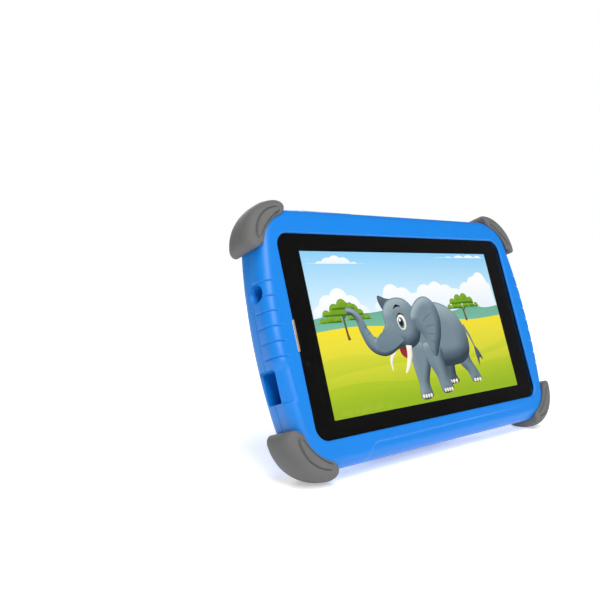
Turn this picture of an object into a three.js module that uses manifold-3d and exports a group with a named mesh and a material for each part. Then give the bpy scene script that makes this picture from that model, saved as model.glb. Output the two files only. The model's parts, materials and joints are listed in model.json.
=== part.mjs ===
// A seven-inch tablet for children in a thick two-part bumper case, leaning back on the folding
// stand that hangs from the middle of its back.
// Everything is modelled in the tablet's own frame, in millimetres: x to the right across the
// screen, y up the screen and z out of it, with z = 0 on the face of the cover glass. The last
// lines lean that frame back and put the origin on the floor, under the middle of the object.
import * as THREE from "three";
import { mergeVertices } from "three/addons/utils/BufferGeometryUtils.js";
import Module from "manifold-3d";

const wasm = await Module();
wasm.setup();

// ---------------------------------------------------------------- driving dimensions
const GAP = 0.3; // clearance between neighbouring pieces

// Attitude in use
const LEAN = THREE.MathUtils.degToRad(18.5); // how far the screen leans back from upright
const OPEN = THREE.MathUtils.degToRad(32); // how far the stand swings out of its recess
const FLOOR = 69.3; // distance from the tablet frame's origin down to the floor

// Tablet computer
const GLASS = { halfW: 94, halfH: 55, corner: 8.5, thick: 0.9 };
const TABLET = { halfW: 94.5, halfH: 55.5, corner: 9, back: -9.8, rim: -1.2, wall: 1.5, floor: 1.1 };
const SCREEN = { halfW: 77.1, halfH: 42.95 }; // lit area of a seven-inch 1024 x 600 panel
const LCD = { halfW: 82.45, halfH: 50, front: -1.7, back: -4.3 };
const PLATE = { halfW: 91.5, halfH: 52.5, front: -4.6, back: -5.2 };
const BOARD = { left: -91.5, right: -58, halfH: 43, front: -5.5, back: -6.3 };
const PARTS_BACK = -8.3; // the deepest that a component inside may reach
const SCREW_AT = { x: 87.5, y: 48 };

// Case
const CASE = { halfW: 106, halfH: 65.5, bulge: 3.8, corner: 20 };
const FRONT = { face: 1.5, edge: 6, window: [91.4, 51.6, 7.5] };
const REAR = { face: -19.5, edge: 7, relief: 1.5 };
const PARTING = -9; // the two halves of the case meet here
const SKIN = 3; // least wall left where the case is cored out
const RIB_PITCH = 7.35;
const RIB_TOP = 27.3;
const RIBS = { left: 6, right: 9, deep: 0.7, wide: 0.9 };

// Openings in the left side
const JACK = { y: 22.5, z: -6, r: 4 };
const USB = { y: -22.75, halfH: 7.75, front: -3.8, back: -14 };
const REAR_CAMERA = { x: -84, y: 12, r: 5 };

// Buttons on the top edge
const STRIP = { left: -70, right: -30, front: -5.5, back: -15.5, low: 58, top: 66.7 };
const POWER = { x: -62, half: 4.5 };
const VOLUME = { x: -42, half: 9 };
const BUTTON = { halfZ: 2.6, top: 67.1, z: -9.9 };
const KEY = { low: 53.4, top: 56.4, z: -7.2, halfZ: 0.9 };
const SWITCH = { low: 51.1, top: 52.3 };

// Corner bumpers: a crescent between two arcs, wrapped over the front and back of the case, with
// its outer rims rounded far more than its inner ones
const BUMPER = {
  outer: { x: 85.1, y: 45.5, r: 24.5 },
  inner: { x: 79, y: 40.5, r: 21.5 },
  topEnd: { x: 87.6, y: 65.4, r: 4.6 },
  sideEnd: { x: 104.9, y: 48.1, r: 4.6 },
  front: 2.8,
  back: -21.2,
  frontEdge: 6,
  backEdge: 11,
};

// Stand and hinge
const HINGE = { y: 4, z: -21.4, r: 3, half: 25.4, knuckle: 8.5 };
const PIN_R = 1.2;
const STAND = { inner: 3.5, outer: 0.2, leg: 68.2, neck: 7, foot: 33, thigh: 37.5, arch: 17.5 };
const RECESS_FLOOR = -17.5;
const CAVITY_FLOOR = -15;

// ---------------------------------------------------------------- solids from three.js shapes
function solid(geometry) {
  const bare = geometry.index ? geometry.toNonIndexed() : geometry.clone();
  const only = new THREE.BufferGeometry().setAttribute("position", bare.getAttribute("position"));
  const merged = mergeVertices(only, 1e-4);
  return new wasm.Manifold(
    new wasm.Mesh({
      numProp: 3,
      vertProperties: merged.attributes.position.array,
      triVerts: new Uint32Array(merged.index.array),
    }),
  );
}

function geometryOf(manifold) {
  const mesh = manifold.getMesh();
  const xyz = new Float32Array(mesh.numVert * 3);
  for (let i = 0; i < mesh.numVert; i++) {
    const from = i * mesh.numProp;
    xyz.set(mesh.vertProperties.subarray(from, from + 3), i * 3);
  }
  return new THREE.BufferGeometry()
    .setAttribute("position", new THREE.BufferAttribute(xyz, 3))
    .setIndex(new THREE.BufferAttribute(new Uint32Array(mesh.triVerts), 1));
}

const points = (list) => list.map(([x, y]) => new THREE.Vector2(x, y));

function prism(outline, low, high) {
  const geometry = new THREE.ExtrudeGeometry(new THREE.Shape(outline), {
    depth: high - low,
    bevelEnabled: false,
  });
  return solid(geometry.translate(0, 0, low));
}

// A prism whose edges are rounded at both ends.
function pillow(outline, low, high, edge, segments = 3) {
  const geometry = new THREE.ExtrudeGeometry(new THREE.Shape(outline), {
    depth: high - low - 2 * edge,
    bevelThickness: edge,
    bevelSize: edge,
    bevelOffset: -edge,
    bevelSegments: segments,
  });
  return solid(geometry.translate(0, 0, low + edge));
}

function box([x0, x1], [y0, y1], [z0, z1]) {
  const geometry = new THREE.BoxGeometry(x1 - x0, y1 - y0, z1 - z0);
  return solid(geometry.translate((x0 + x1) / 2, (y0 + y1) / 2, (z0 + z1) / 2));
}

function rodX(radius, [x0, x1], y, z, sides = 20) {
  const geometry = new THREE.CylinderGeometry(radius, radius, x1 - x0, sides).rotateZ(Math.PI / 2);
  return solid(geometry.translate((x0 + x1) / 2, y, z));
}

function rodZ(radius, x, y, [z0, z1], sides = 20) {
  const geometry = new THREE.CylinderGeometry(radius, radius, z1 - z0, sides).rotateX(Math.PI / 2);
  return solid(geometry.translate(x, y, (z0 + z1) / 2));
}

const joinAll = (solids) => solids.reduce((sum, next) => sum.add(next));
const cutAll = (from, solids) => solids.reduce((left, next) => left.subtract(next), from);

// ---------------------------------------------------------------- outlines
function arc(cx, cy, r, from, to, steps) {
  return Array.from({ length: steps + 1 }, (_, i) => {
    const a = THREE.MathUtils.degToRad(from + ((to - from) * i) / steps);
    return new THREE.Vector2(cx + r * Math.cos(a), cy + r * Math.sin(a));
  });
}

function roundedRect(halfW, halfH, r, steps = 5, cx = 0, cy = 0) {
  const [x, y] = [halfW - r, halfH - r];
  return [
    ...arc(cx + x, cy + y, r, 0, 90, steps),
    ...arc(cx - x, cy + y, r, 90, 180, steps),
    ...arc(cx - x, cy - y, r, 180, 270, steps),
    ...arc(cx + x, cy - y, r, 270, 360, steps),
  ];
}

// The outline moved outwards by a distance, along the mean of each corner's two normals.
function offset(outline, growth) {
  const distance = THREE.ShapeUtils.isClockWise(outline) ? -growth : growth;
  const n = outline.length;
  return outline.map((p, i) => {
    const before = p.clone().sub(outline[(i + n - 1) % n]).normalize();
    const after = outline[(i + 1) % n].clone().sub(p).normalize();
    const normal = new THREE.Vector2(before.y + after.y, -before.x - after.x).normalize();
    const stretch = Math.max(0.5, normal.dot(new THREE.Vector2(before.y, -before.x)));
    return p.clone().addScaledVector(normal, distance / stretch);
  });
}

const curveThrough = (list, steps) => new THREE.SplineCurve(points(list)).getPoints(steps);

// Rounded rectangle with straight top and bottom edges and sides that bow outwards.
function caseOutline(grow = 0) {
  const cornerX = CASE.halfW - CASE.bulge - CASE.corner;
  const cornerY = CASE.halfH - CASE.corner;
  const side = [-0.66, -0.33, 0, 0.33, 0.66].map(
    (t) => new THREE.Vector2(CASE.halfW - CASE.bulge * t * t, t * cornerY),
  );
  const right = [
    ...arc(cornerX, -cornerY, CASE.corner, 270, 360, 6),
    ...side,
    ...arc(cornerX, cornerY, CASE.corner, 0, 90, 6),
  ];
  const left = right.map((p) => new THREE.Vector2(-p.x, -p.y));
  return offset([...right, ...left], grow);
}

// Solid with the case's outer form, front or rear half, grown by a clearance.
function frontForm(grow = 0) {
  const deep = FRONT.face - PARTING;
  return pillow(caseOutline(grow), PARTING - deep, FRONT.face + grow, FRONT.edge, 4);
}

function rearForm(grow = 0) {
  const deep = PARTING - REAR.face;
  return pillow(caseOutline(grow), REAR.face - grow, PARTING + deep, REAR.edge, 4);
}

const EVERYWHERE = 200;
const AHEAD = box([-EVERYWHERE, EVERYWHERE], [-EVERYWHERE, EVERYWHERE], [PARTING, EVERYWHERE]);
const BEHIND = box([-EVERYWHERE, EVERYWHERE], [-EVERYWHERE, EVERYWHERE], [-EVERYWHERE, PARTING]);
const SHELL_SPACE = BEHIND.translate([0, 0, -GAP]);

// Everything under the floor, in a frame whose upright is tilted by an angle about x.
function underFloor(height, tilt) {
  const slab = new THREE.BoxGeometry(2 * EVERYWHERE, 100, 2 * EVERYWHERE);
  return solid(slab.translate(0, -height - 50, 0).rotateX(tilt));
}

// ---------------------------------------------------------------- shared cutters of the case
const tabletPocket = prism(
  roundedRect(TABLET.halfW + GAP, TABLET.halfH + GAP, TABLET.corner + GAP),
  TABLET.back - GAP,
  GAP,
);

const stripSlot = box(
  [STRIP.left - GAP, STRIP.right + GAP],
  [TABLET.halfH, CASE.halfH + 5],
  [STRIP.back - GAP, STRIP.front + GAP],
);

const sideOpenings = [
  rodX(JACK.r, [-CASE.halfW - 5, -TABLET.halfW + 1], JACK.y, JACK.z),
  box(
    [-CASE.halfW - 5, -TABLET.halfW + 1],
    [USB.y - USB.halfH, USB.y + USB.halfH],
    [USB.back, USB.front],
  ),
];

// Hollows that lighten the thick walls, all open towards the parting plane.
function wallCores(low, high) {
  const inX = TABLET.halfW + SKIN;
  const outX = CASE.halfW - CASE.bulge - SKIN;
  const inY = TABLET.halfH + SKIN;
  const outY = CASE.halfH - SKIN;
  const reachX = CASE.halfW - CASE.corner - 14;
  const reachY = CASE.halfH - CASE.corner - 8;
  return [
    box([STRIP.right + 6, reachX], [inY, outY], [low, high]),
    box([-reachX, reachX], [-outY, -inY], [low, high]),
    box([inX, outX], [-reachY, reachY], [low, high]),
  ];
}

// Grip ribs: thin grooves that follow the rounded front edge of the two short sides.
function ribGrooves() {
  const core = pillow(caseOutline(-RIBS.deep), -30, FRONT.face - RIBS.deep, FRONT.edge, 4);
  const slots = [];
  for (const [sign, count] of [[-1, RIBS.left], [1, RIBS.right]]) {
    for (let i = 0; i < count; i++) {
      const y = RIB_TOP - i * RIB_PITCH;
      const ends = [sign * (CASE.halfW - 8), sign * (CASE.halfW + 5)].sort((a, b) => a - b);
      slots.push(box(ends, [y - RIBS.wide / 2, y + RIBS.wide / 2], [PARTING + 1, 5]));
    }
  }
  return joinAll(slots).subtract(core);
}

function frontFrame() {
  const [halfW, halfH, corner] = FRONT.window;
  return cutAll(frontForm().intersect(AHEAD), [
    prism(roundedRect(halfW, halfH, corner), -1, 5),
    tabletPocket,
    stripSlot,
    ...sideOpenings,
    ...wallCores(PARTING - 1, FRONT.face - 5),
    ribGrooves(),
  ]);
}

// ---------------------------------------------------------------- raised elephant on the back
// Drawn as it is seen from behind, so its x is turned round at the end.
const mirrored = (outline) => outline.map((p) => new THREE.Vector2(-p.x, p.y)).reverse();

function elephantOutline() {
  const brow = curveThrough(
    [[-77, 52], [-80.5, 42], [-74, 28], [-57, 21], [-38, 25], [-16, 43], [8, 52.5], [45, 54.5], [97, 43]],
    30,
  );
  const belly = curveThrough(
    [[-45, -58], [-46, -34], [-56, -14], [-82, 6], [-93, 27], [-91, 47], [-83, 56]],
    24,
  );
  return mirrored([...brow, ...points([[97, -58]]), ...belly]);
}

const EYE = { x: 30, y: 18.5, white: 5.3, pupil: 4.4, glint: 2 };
const tuskOutline = () =>
  mirrored([
    ...curveThrough([[-50, 10.5], [-43, 8.4], [-33, 8.2], [-29, 8.2], [-27.6, 6.2]], 10),
    ...curveThrough([[-29, 4.2], [-36, 3.6], [-44, 6.2]], 5),
  ]);
const earOutline = () =>
  mirrored([
    ...curveThrough([[-13, 20], [-19.3, 30], [-14, 40], [-5, 43], [5, 39.5], [16, 32.5]], 14),
    ...curveThrough([[20, 25], [14, 17], [2, 14.5], [-7, 15.5]], 8),
  ]);

function speakerHoles() {
  const [halfWide, pitch, high] = [0.45, 2.45, 12.2];
  const slot = 5.2;
  const [cx, cy] = [78.3, -38.2];
  const holes = [];
  const cut = (column, y, length) => {
    const x = cx - column * pitch;
    const ends = [y - length / 2, y + length / 2];
    holes.push(box([x - halfWide, x + halfWide], ends, [-25, CAVITY_FLOOR + 1]));
  };
  for (let column = -3; column <= 3; column++) {
    if (Math.abs(column) === 1) {
      cut(column, cy + (high - slot) / 2, slot);
      cut(column, cy - (high - slot) / 2, slot);
    } else {
      cut(column, cy, slot);
      cut(column, cy + high / 2 - 0.8, 2 * halfWide);
      cut(column, cy - high / 2 + 0.8, 2 * halfWide);
    }
  }
  return holes;
}

// Half-outline of the stand in hinge coordinates, from the neck to the tip of one foot.
function standSide() {
  return [
    ...points([[STAND.neck, -1], [STAND.neck, -9]]),
    ...curveThrough([[9, -11.5], [22, -17.5], [31, -23.5], [36, -31], [STAND.thigh, -39]], 9),
    ...arc(STAND.foot - 4, -STAND.leg + 4, 4, 0, -90, 4),
  ];
}

function standOutline(withArch) {
  const right = standSide();
  const archSide = withArch
    ? [
        ...arc(STAND.arch + 3, -STAND.leg + 3, 3, 270, 200, 3),
        ...curveThrough([[12.5, -60], [8.5, -54.5], [0, -52]], 6),
      ]
    : [];
  const half = [...right, ...archSide];
  const other = half.map((p) => new THREE.Vector2(-p.x, p.y)).reverse();
  const seam = withArch ? 1 : 0;
  return [...half, ...other.slice(seam)].reverse();
}

function rearShell() {
  const bumperSpace = joinAll(
    [[1, 1], [1, -1], [-1, 1], [-1, -1]].map(([sx, sy]) =>
      prism(crescent(sx, sy, 0.6), -30, -15),
    ),
  );
  const reliefTop = REAR.face - REAR.relief;
  const relief = rearForm()
    .translate([0, 0, -REAR.relief])
    .intersect(prism(elephantOutline(), reliefTop - 1, REAR.face + 2))
    .subtract(bumperSpace);
  const form = rearForm().intersect(SHELL_SPACE).add(relief);

  const recess = prism(offset(standOutline(false), 0.9), -30, RECESS_FLOOR).translate([
    0,
    HINGE.y,
    0,
  ]);
  const openFoot = STAND.foot + 0.9;
  const recessMouth = box([-openFoot, openFoot], [-80, -60], [-30, RECESS_FLOOR]);
  const knuckleSpace = box([-9.55, 9.55], [-6, HINGE.y + 3.6], [-30, RECESS_FLOOR]);
  const lugSpace = box([-5.6, 5.6], [HINGE.y, HINGE.y + 6.2], [-30, RECESS_FLOOR]);
  const earSlots = [-1, 1].map((sign) => {
    const ends = [sign * 9.4, sign * (HINGE.half + GAP)].sort((a, b) => a - b);
    return box(ends, [HINGE.y - HINGE.r - GAP, HINGE.y + HINGE.r + GAP], [-30, -10]);
  });

  const pocketDepth = [CAVITY_FLOOR, TABLET.back];
  const bracketPocket = box([-32, 32], [-7, 14], pocketDepth);
  const speakerChamber = box([69, 87], [-46, -30], pocketDepth);

  const inlayFloor = [-30, reliefTop + 0.8];
  const inlays = [
    rodZ(EYE.white + GAP, EYE.x, EYE.y, inlayFloor, 24),
    prism(offset(tuskOutline(), GAP), ...inlayFloor),
    prism(offset(earOutline(), GAP), ...inlayFloor),
  ];

  const cameraHole = rodZ(REAR_CAMERA.r, REAR_CAMERA.x, REAR_CAMERA.y, [-30, TABLET.back], 24);
  const cameraPanel = box([-97, -74], [-4, 28], [-30, reliefTop + 0.8]);
  const bracketScrewHoles = [-28.5, 28.5].map((x) =>
    rodZ(0.8, x, HINGE.y, [RECESS_FLOOR - 0.5, CAVITY_FLOOR + 1], 10),
  );
  return cutAll(form, [
    tabletPocket,
    stripSlot,
    ...sideOpenings,
    ...wallCores(-15.5, PARTING + 1),
    bracketPocket,
    speakerChamber,
    recess,
    recessMouth,
    knuckleSpace,
    lugSpace,
    ...earSlots,
    ...inlays,
    cameraPanel,
    cameraHole,
    ...bracketScrewHoles,
    ...speakerHoles(),
  ]);
}

// ---------------------------------------------------------------- corner bumpers
function crescent(sx, sy, grow = 0) {
  const { outer, inner, topEnd, sideEnd } = BUMPER;
  const outside = arc(outer.x, outer.y, outer.r, 5, 85, 10);
  const top = arc(topEnd.x, topEnd.y, topEnd.r, 100, 240, 4);
  const inside = arc(inner.x, inner.y, inner.r, 73, 14, 8);
  const side = arc(sideEnd.x, sideEnd.y, sideEnd.r, 210, 350, 4);
  const quarter = offset([...outside, ...top, ...inside, ...side], grow);
  const placed = quarter.map((p) => new THREE.Vector2(p.x * sx, p.y * sy));
  return sx * sy < 0 ? placed.reverse() : placed;
}

// Round cushion whose rims give the bumper its soft outer edges.
function cushion(sx, sy) {
  const { outer, front, back, frontEdge, backEdge } = BUMPER;
  const disc = arc(outer.x * sx, outer.y * sy, outer.r, 0, 352.5, 47);
  const low = pillow(disc, back, back + 60, backEdge, 5);
  return low.intersect(pillow(disc, front - 60, front, frontEdge, 4));
}

function bumper(sx, sy) {
  const body = cushion(sx, sy).intersect(prism(crescent(sx, sy), BUMPER.back, BUMPER.front));
  const held = frontForm(GAP).intersect(AHEAD).add(rearForm(GAP).intersect(BEHIND));
  const clipped = body.subtract(held);
  return sy < 0 ? clipped.subtract(underFloor(FLOOR, LEAN)) : clipped;
}

// ---------------------------------------------------------------- buttons
function buttonStrip() {
  const block = box([STRIP.left, STRIP.right], [STRIP.low, STRIP.top], [STRIP.back, STRIP.front]);
  return cutAll(
    block,
    [[POWER, GAP], [VOLUME, 0.6]].map(([button, room]) =>
      box(
        [button.x - button.half - room, button.x + button.half + room],
        [50, 70],
        [BUTTON.z - BUTTON.halfZ - GAP, BUTTON.z + BUTTON.halfZ + GAP],
      ),
    ),
  );
}

const buttonDepth = [BUTTON.z - BUTTON.halfZ, BUTTON.z + BUTTON.halfZ];

function powerButton() {
  const ends = [POWER.x - POWER.half, POWER.x + POWER.half];
  const cap = box(ends, [60, BUTTON.top], buttonDepth);
  return cap.add(box([POWER.x - 2, POWER.x + 2], [KEY.top + GAP, 61], buttonDepth));
}

function volumeRocker() {
  const ends = [VOLUME.x - VOLUME.half, VOLUME.x + VOLUME.half];
  const cap = box(ends, [60, BUTTON.top], buttonDepth);
  const posts = [-6, 6].map((dx) =>
    box([VOLUME.x + dx - 1.5, VOLUME.x + dx + 1.5], [KEY.top + GAP, 61], buttonDepth),
  );
  return joinAll([cap, ...posts]);
}

function innerKey(button, half) {
  const depth = [KEY.z - KEY.halfZ, KEY.z + KEY.halfZ];
  const cap = box([button.x - half, button.x + half], [KEY.low, KEY.top], depth);
  const flange = box([button.x - half - 1, button.x + half + 1], [KEY.low - 0.4, KEY.low], depth);
  return cap.add(flange.translate([0, 0.01, 0]));
}

// ---------------------------------------------------------------- stand and its hinge
function standBracket() {
  const ears = [-1, 1].map((sign) => {
    const ends = [sign * 9.7, sign * HINGE.half].sort((a, b) => a - b);
    const barrel = rodX(HINGE.r, ends, HINGE.y, HINGE.z, 24);
    const web = box(ends, [HINGE.y - HINGE.r, HINGE.y + HINGE.r], [HINGE.z, -14]);
    const bore = rodX(PIN_R + 0.15, [-40, 40], HINGE.y, HINGE.z, 24);
    const mouth = [sign * (HINGE.half - 1.5), sign * (HINGE.half + 3)].sort((a, b) => a - b);
    return barrel.add(web).subtract(bore).subtract(rodX(2.3, mouth, HINGE.y, HINGE.z, 24));
  });
  const base = box([-31, 31], [-6, 13], [CAVITY_FLOOR + GAP, CAVITY_FLOOR + GAP + 1.8]);
  const holes = [-28.5, 28.5].map((x) => rodZ(1, x, HINGE.y, [-16, -10], 12));
  return cutAll(joinAll([base, ...ears]), holes);
}

// Built about the hinge axis in its folded position: the plate hangs down along -y.
function stand() {
  const depth = [STAND.outer, STAND.inner];
  const plate = prism(standOutline(true), ...depth);
  const knuckle = rodX(HINGE.r, [-HINGE.knuckle, HINGE.knuckle], 0, 0, 24);
  const web = box([-STAND.neck, STAND.neck], [-9, -0.5], depth);
  const lug = box([-5, 5], [0, 5.6], [-0.8, 0.8]);
  const bore = rodX(PIN_R + 0.15, [-40, 40], 0, 0, 24);
  const height = FLOOR + HINGE.y * Math.cos(LEAN) + HINGE.z * Math.sin(LEAN);
  return joinAll([plate, knuckle, web, lug])
    .subtract(bore)
    .subtract(underFloor(height, LEAN - OPEN));
}

const hingePin = () => rodX(PIN_R, [-23.4, 23.4], 0, 0, 24);
const pinCap = (sign) => {
  const ends = [sign * (HINGE.half - 1.2), sign * (HINGE.half + 0.2)].sort((a, b) => a - b);
  return rodX(2, ends, 0, 0, 24);
};
const hingeWasher = (sign) => {
  const ends = [sign * 8.8, sign * 9.4].sort((a, b) => a - b);
  return rodX(2.8, ends, 0, 0, 24).subtract(rodX(PIN_R + 0.2, [-12, 12], 0, 0, 24));
};

function screw(x, y, headAt, pointAt, headR, shankR) {
  const down = Math.sign(pointAt - headAt);
  const sort = (a, b) => (a < b ? [a, b] : [b, a]);
  const head = rodZ(headR, x, y, sort(headAt, headAt + down * 0.8), 16);
  const shank = rodZ(shankR, x, y, sort(headAt + down * 0.7, pointAt), 10);
  const depth = sort(headAt - down * 0.1, headAt + down * 0.4);
  const wide = headR * 0.6;
  return cutAll(head.add(shank), [
    box([x - wide, x + wide], [y - 0.15, y + 0.15], depth),
    box([x - 0.15, x + 0.15], [y - wide, y + wide], depth),
  ]);
}

// ---------------------------------------------------------------- inlays of the elephant
const RELIEF_TOP = REAR.face - REAR.relief;
const INLAY = [RELIEF_TOP - 0.5, RELIEF_TOP + 0.5];

function eyeWhite() {
  const well = rodZ(EYE.pupil + GAP, EYE.x, EYE.y, [-30, RELIEF_TOP + 0.1], 24);
  return rodZ(EYE.white, EYE.x, EYE.y, INLAY, 24).subtract(well);
}

const GLINT = { x: EYE.x + 1.5, y: EYE.y - 0.9 };
function eyePupil() {
  const depth = [RELIEF_TOP - 0.7, RELIEF_TOP - 0.2];
  const hole = rodZ(EYE.glint + GAP, GLINT.x, GLINT.y, [-30, -10], 16);
  return rodZ(EYE.pupil, EYE.x, EYE.y, depth, 24).subtract(hole);
}
const eyeGlint = () =>
  rodZ(EYE.glint, GLINT.x, GLINT.y, [RELIEF_TOP - 0.75, RELIEF_TOP - 0.2], 16);

// ---------------------------------------------------------------- the tablet inside
const plateOf = ({ halfW, halfH }, r, low, high) => prism(roundedRect(halfW, halfH, r), low, high);

const coverGlass = () => plateOf(GLASS, GLASS.corner, -GLASS.thick, 0);

function screenMask() {
  const sheet = plateOf(GLASS, GLASS.corner, -1.4, -1.2);
  const lit = box([-SCREEN.halfW, SCREEN.halfW], [-SCREEN.halfH, SCREEN.halfH], [-2, 0]);
  const cameraWindow = rodZ(1.6, -85.8, -14.3, [-2, 0], 12);
  return cutAll(sheet, [lit, cameraWindow]);
}

function backCover() {
  const { back, rim, wall, floor, corner } = TABLET;
  const inner = roundedRect(TABLET.halfW - wall, TABLET.halfH - wall, corner - wall);
  const tray = pillow(roundedRect(TABLET.halfW, TABLET.halfH, corner), back, rim + 4, 1.6, 2)
    .subtract(box([-EVERYWHERE, EVERYWHERE], [-EVERYWHERE, EVERYWHERE], [rim - 0.3, EVERYWHERE]))
    .subtract(prism(inner, back + floor, 5));
  const bosses = screwPlaces().map(([x, y]) =>
    rodZ(2.2, x, y, [back + 0.5, BOARD.front], 12).subtract(rodZ(1, x, y, [-8.6, 0], 12)),
  );
  const keyRoom = [KEY.z - KEY.halfZ - GAP, KEY.z + KEY.halfZ + GAP];
  const outX = [-TABLET.halfW - 1, -TABLET.halfW + wall + 0.5];
  return cutAll(joinAll([tray, ...bosses]), [
    box([POWER.x - 3.5, POWER.x + 3.5], [53, 57], keyRoom),
    box([VOLUME.x - 8.7, VOLUME.x + 8.7], [53, 57], keyRoom),
    rodX(3.3, outX, JACK.y, -5.9, 20),
    box(outX, [USB.y - 4.1, USB.y + 4.1], [-8.5, -5.3]),
    box(outX, [-45.5, -33.5], [-8, -6.6]),
    rodZ(3.6, REAR_CAMERA.x, REAR_CAMERA.y, [-12, -8], 20),
    ...[-4, 0, 4].map((dx) => box([78 + dx - 0.8, 78 + dx + 0.8], [-43, -33], [-12, -8])),
  ]);
}

function screwPlaces() {
  const { x, y } = SCREW_AT;
  return [[-x, -y], [x, -y], [-x, y], [x, y]];
}

function midPlate() {
  return cutAll(plateOf(PLATE, 7, PLATE.back, PLATE.front), [
    ...screwPlaces().map(([x, y]) => rodZ(1, x, y, [-7, -3], 12)),
    box([-95, -82.6], [18, 27], [-7, -3]),
    box([-56, -53], [-13, 13], [-7, -3]),
  ]);
}

function mainBoard() {
  const board = box(
    [BOARD.left, BOARD.right],
    [-BOARD.halfH, BOARD.halfH],
    [BOARD.back, BOARD.front],
  );
  return cutAll(board, [
    box([-95, -82.3], [18.2, 26.8], [-9, -3]),
    box([-95, -86.8], [USB.y - 4.3, USB.y + 4.3], [-9, -3]),
  ]);
}

function usbSocket() {
  const [low, high] = [-8.2, -5.6];
  const shell = box([-94.2, -87.2], [USB.y - 3.8, USB.y + 3.8], [low, high]);
  const mouth = box([-96, -88.4], [USB.y - 3.4, USB.y + 3.4], [low + 0.4, high - 0.4]);
  const tongue = box([-93.4, -88], [USB.y - 2.4, USB.y + 2.4], [-7.1, -6.6]);
  return shell.subtract(mouth).add(tongue);
}

function audioJack() {
  const body = box([-92.8, -82.9], [JACK.y - 3, JACK.y + 3], [-8.4, -3.4]);
  const nose = rodX(2.9, [-94.2, -90], JACK.y, -5.9, 20).intersect(
    box([-96, -80], [0, 40], [-8.4, -3.4]),
  );
  return body.add(nose).subtract(rodX(1.75, [-96, -84], JACK.y, -5.9, 16));
}

function rearCamera() {
  const body = box(
    [REAR_CAMERA.x - 3.5, REAR_CAMERA.x + 3.5],
    [REAR_CAMERA.y - 3.5, REAR_CAMERA.y + 3.5],
    [-8.4, BOARD.back - GAP],
  );
  const barrel = rodZ(3, REAR_CAMERA.x, REAR_CAMERA.y, [-9.1, -8], 20);
  return body.add(barrel).subtract(rodZ(1.4, REAR_CAMERA.x, REAR_CAMERA.y, [-10, -8.6], 12));
}

const rearCameraLens = () => rodZ(3.3, REAR_CAMERA.x, REAR_CAMERA.y, [-9.75, -9.4], 20);

function frontCamera() {
  const body = box([-88.8, -82.8], [-17.3, -11.3], [-4.3, -2.4]);
  return body.add(rodZ(1.5, -85.8, -14.3, [-2.6, -1.7], 12));
}

function speaker() {
  const body = box([68, 88], [-45, -31], [PARTS_BACK, -5.6]);
  return body.subtract(box([70, 86], [-43, -33], [PARTS_BACK - 1, PARTS_BACK + 0.5]));
}

function batteryLead(y) {
  const route = new THREE.CatmullRomCurve3([
    new THREE.Vector3(-50.4, y, -7.2),
    new THREE.Vector3(-54, y + 1, -7.2),
    new THREE.Vector3(-57, y + 5, -7.2),
    new THREE.Vector3(-62, y + 7, -7.2),
  ]);
  const section = new THREE.Shape(arc(0, 0, 0.55, 0, 315, 7));
  return solid(new THREE.ExtrudeGeometry(section, { steps: 10, extrudePath: route }));
}

// Flat ribbon that drops through the slot in the middle plate and runs on to the board.
function displayRibbon() {
  const profile = points([
    [-54.4, -4.6],
    [-54.6, -4.6],
    [-54.6, -6.7],
    [-60, -6.7],
    [-60, -6.9],
    [-54.4, -6.9],
  ]);
  const geometry = new THREE.ExtrudeGeometry(new THREE.Shape(profile), {
    depth: 18,
    bevelEnabled: false,
  });
  return solid(geometry.rotateX(Math.PI / 2).translate(0, 9, 0));
}

// ---------------------------------------------------------------- materials
const finish = (color, roughness, metalness = 0) =>
  new THREE.MeshStandardMaterial({ color, roughness, metalness });
const LOOKS = {
  blue: finish(0x2288f2, 0.55),
  standBlue: finish(0x1f84ec, 0.45),
  grey: finish(0x6e6e6c, 0.75),
  white: finish(0xf7f7f4, 0.4),
  black: finish(0x0b0b0c, 0.3),
  glass: new THREE.MeshStandardMaterial({ color: 0xffffff, roughness: 0.05, opacity: 0.2 }),
  ink: finish(0x0c0c0d, 0.5),
  screen: finish(0x9ac64a, 0.3),
  steel: finish(0xb9bcc0, 0.3, 1),
  cover: finish(0x1b1c1e, 0.5),
  board: finish(0x14512f, 0.5),
  cell: finish(0xb8bcc4, 0.4, 0.5),
  copper: finish(0xb98a3c, 0.4, 0.8),
  red: finish(0xb01818, 0.5),
  lens: finish(0x10131c, 0.08),
};
LOOKS.glass.transparent = true;

// ---------------------------------------------------------------- assembly
const tablet = new THREE.Group();
tablet.rotation.x = Math.PI / 2 - LEAN;

const hinge = new THREE.Group();
hinge.position.set(0, HINGE.y, HINGE.z);
tablet.add(hinge);

function add(group, name, look, manifold) {
  const mesh = new THREE.Mesh(geometryOf(manifold), LOOKS[look]);
  mesh.name = name;
  group.add(mesh);
  return mesh;
}

add(tablet, "front_frame", "blue", frontFrame());
add(tablet, "rear_shell", "blue", rearShell());
for (const [high, sy] of [["top", 1], ["bottom", -1]]) {
  for (const [wide, sx] of [["left", -1], ["right", 1]]) {
    add(tablet, `bumper_${high}_${wide}`, "grey", bumper(sx, sy));
  }
}

add(tablet, "button_strip", "blue", buttonStrip());
add(tablet, "power_button", "blue", powerButton());
add(tablet, "volume_rocker", "blue", volumeRocker());
add(tablet, "power_key", "black", innerKey(POWER, 3));
add(tablet, "volume_key", "black", innerKey(VOLUME, 8));

add(tablet, "stand_bracket", "blue", standBracket());
add(hinge, "stand", "standBlue", stand()).rotation.x = OPEN;
add(hinge, "stand_pin", "steel", hingePin());
for (const [side, sign] of [["left", -1], ["right", 1]]) {
  add(hinge, `pin_cap_${side}`, "blue", pinCap(sign));
  add(hinge, `hinge_washer_${side}`, "white", hingeWasher(sign));
  const screwX = sign * 28.5;
  add(tablet, `bracket_screw_${side}`, "steel", screw(screwX, HINGE.y, -11.9, -17.8, 1.7, 0.75));
}

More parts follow.
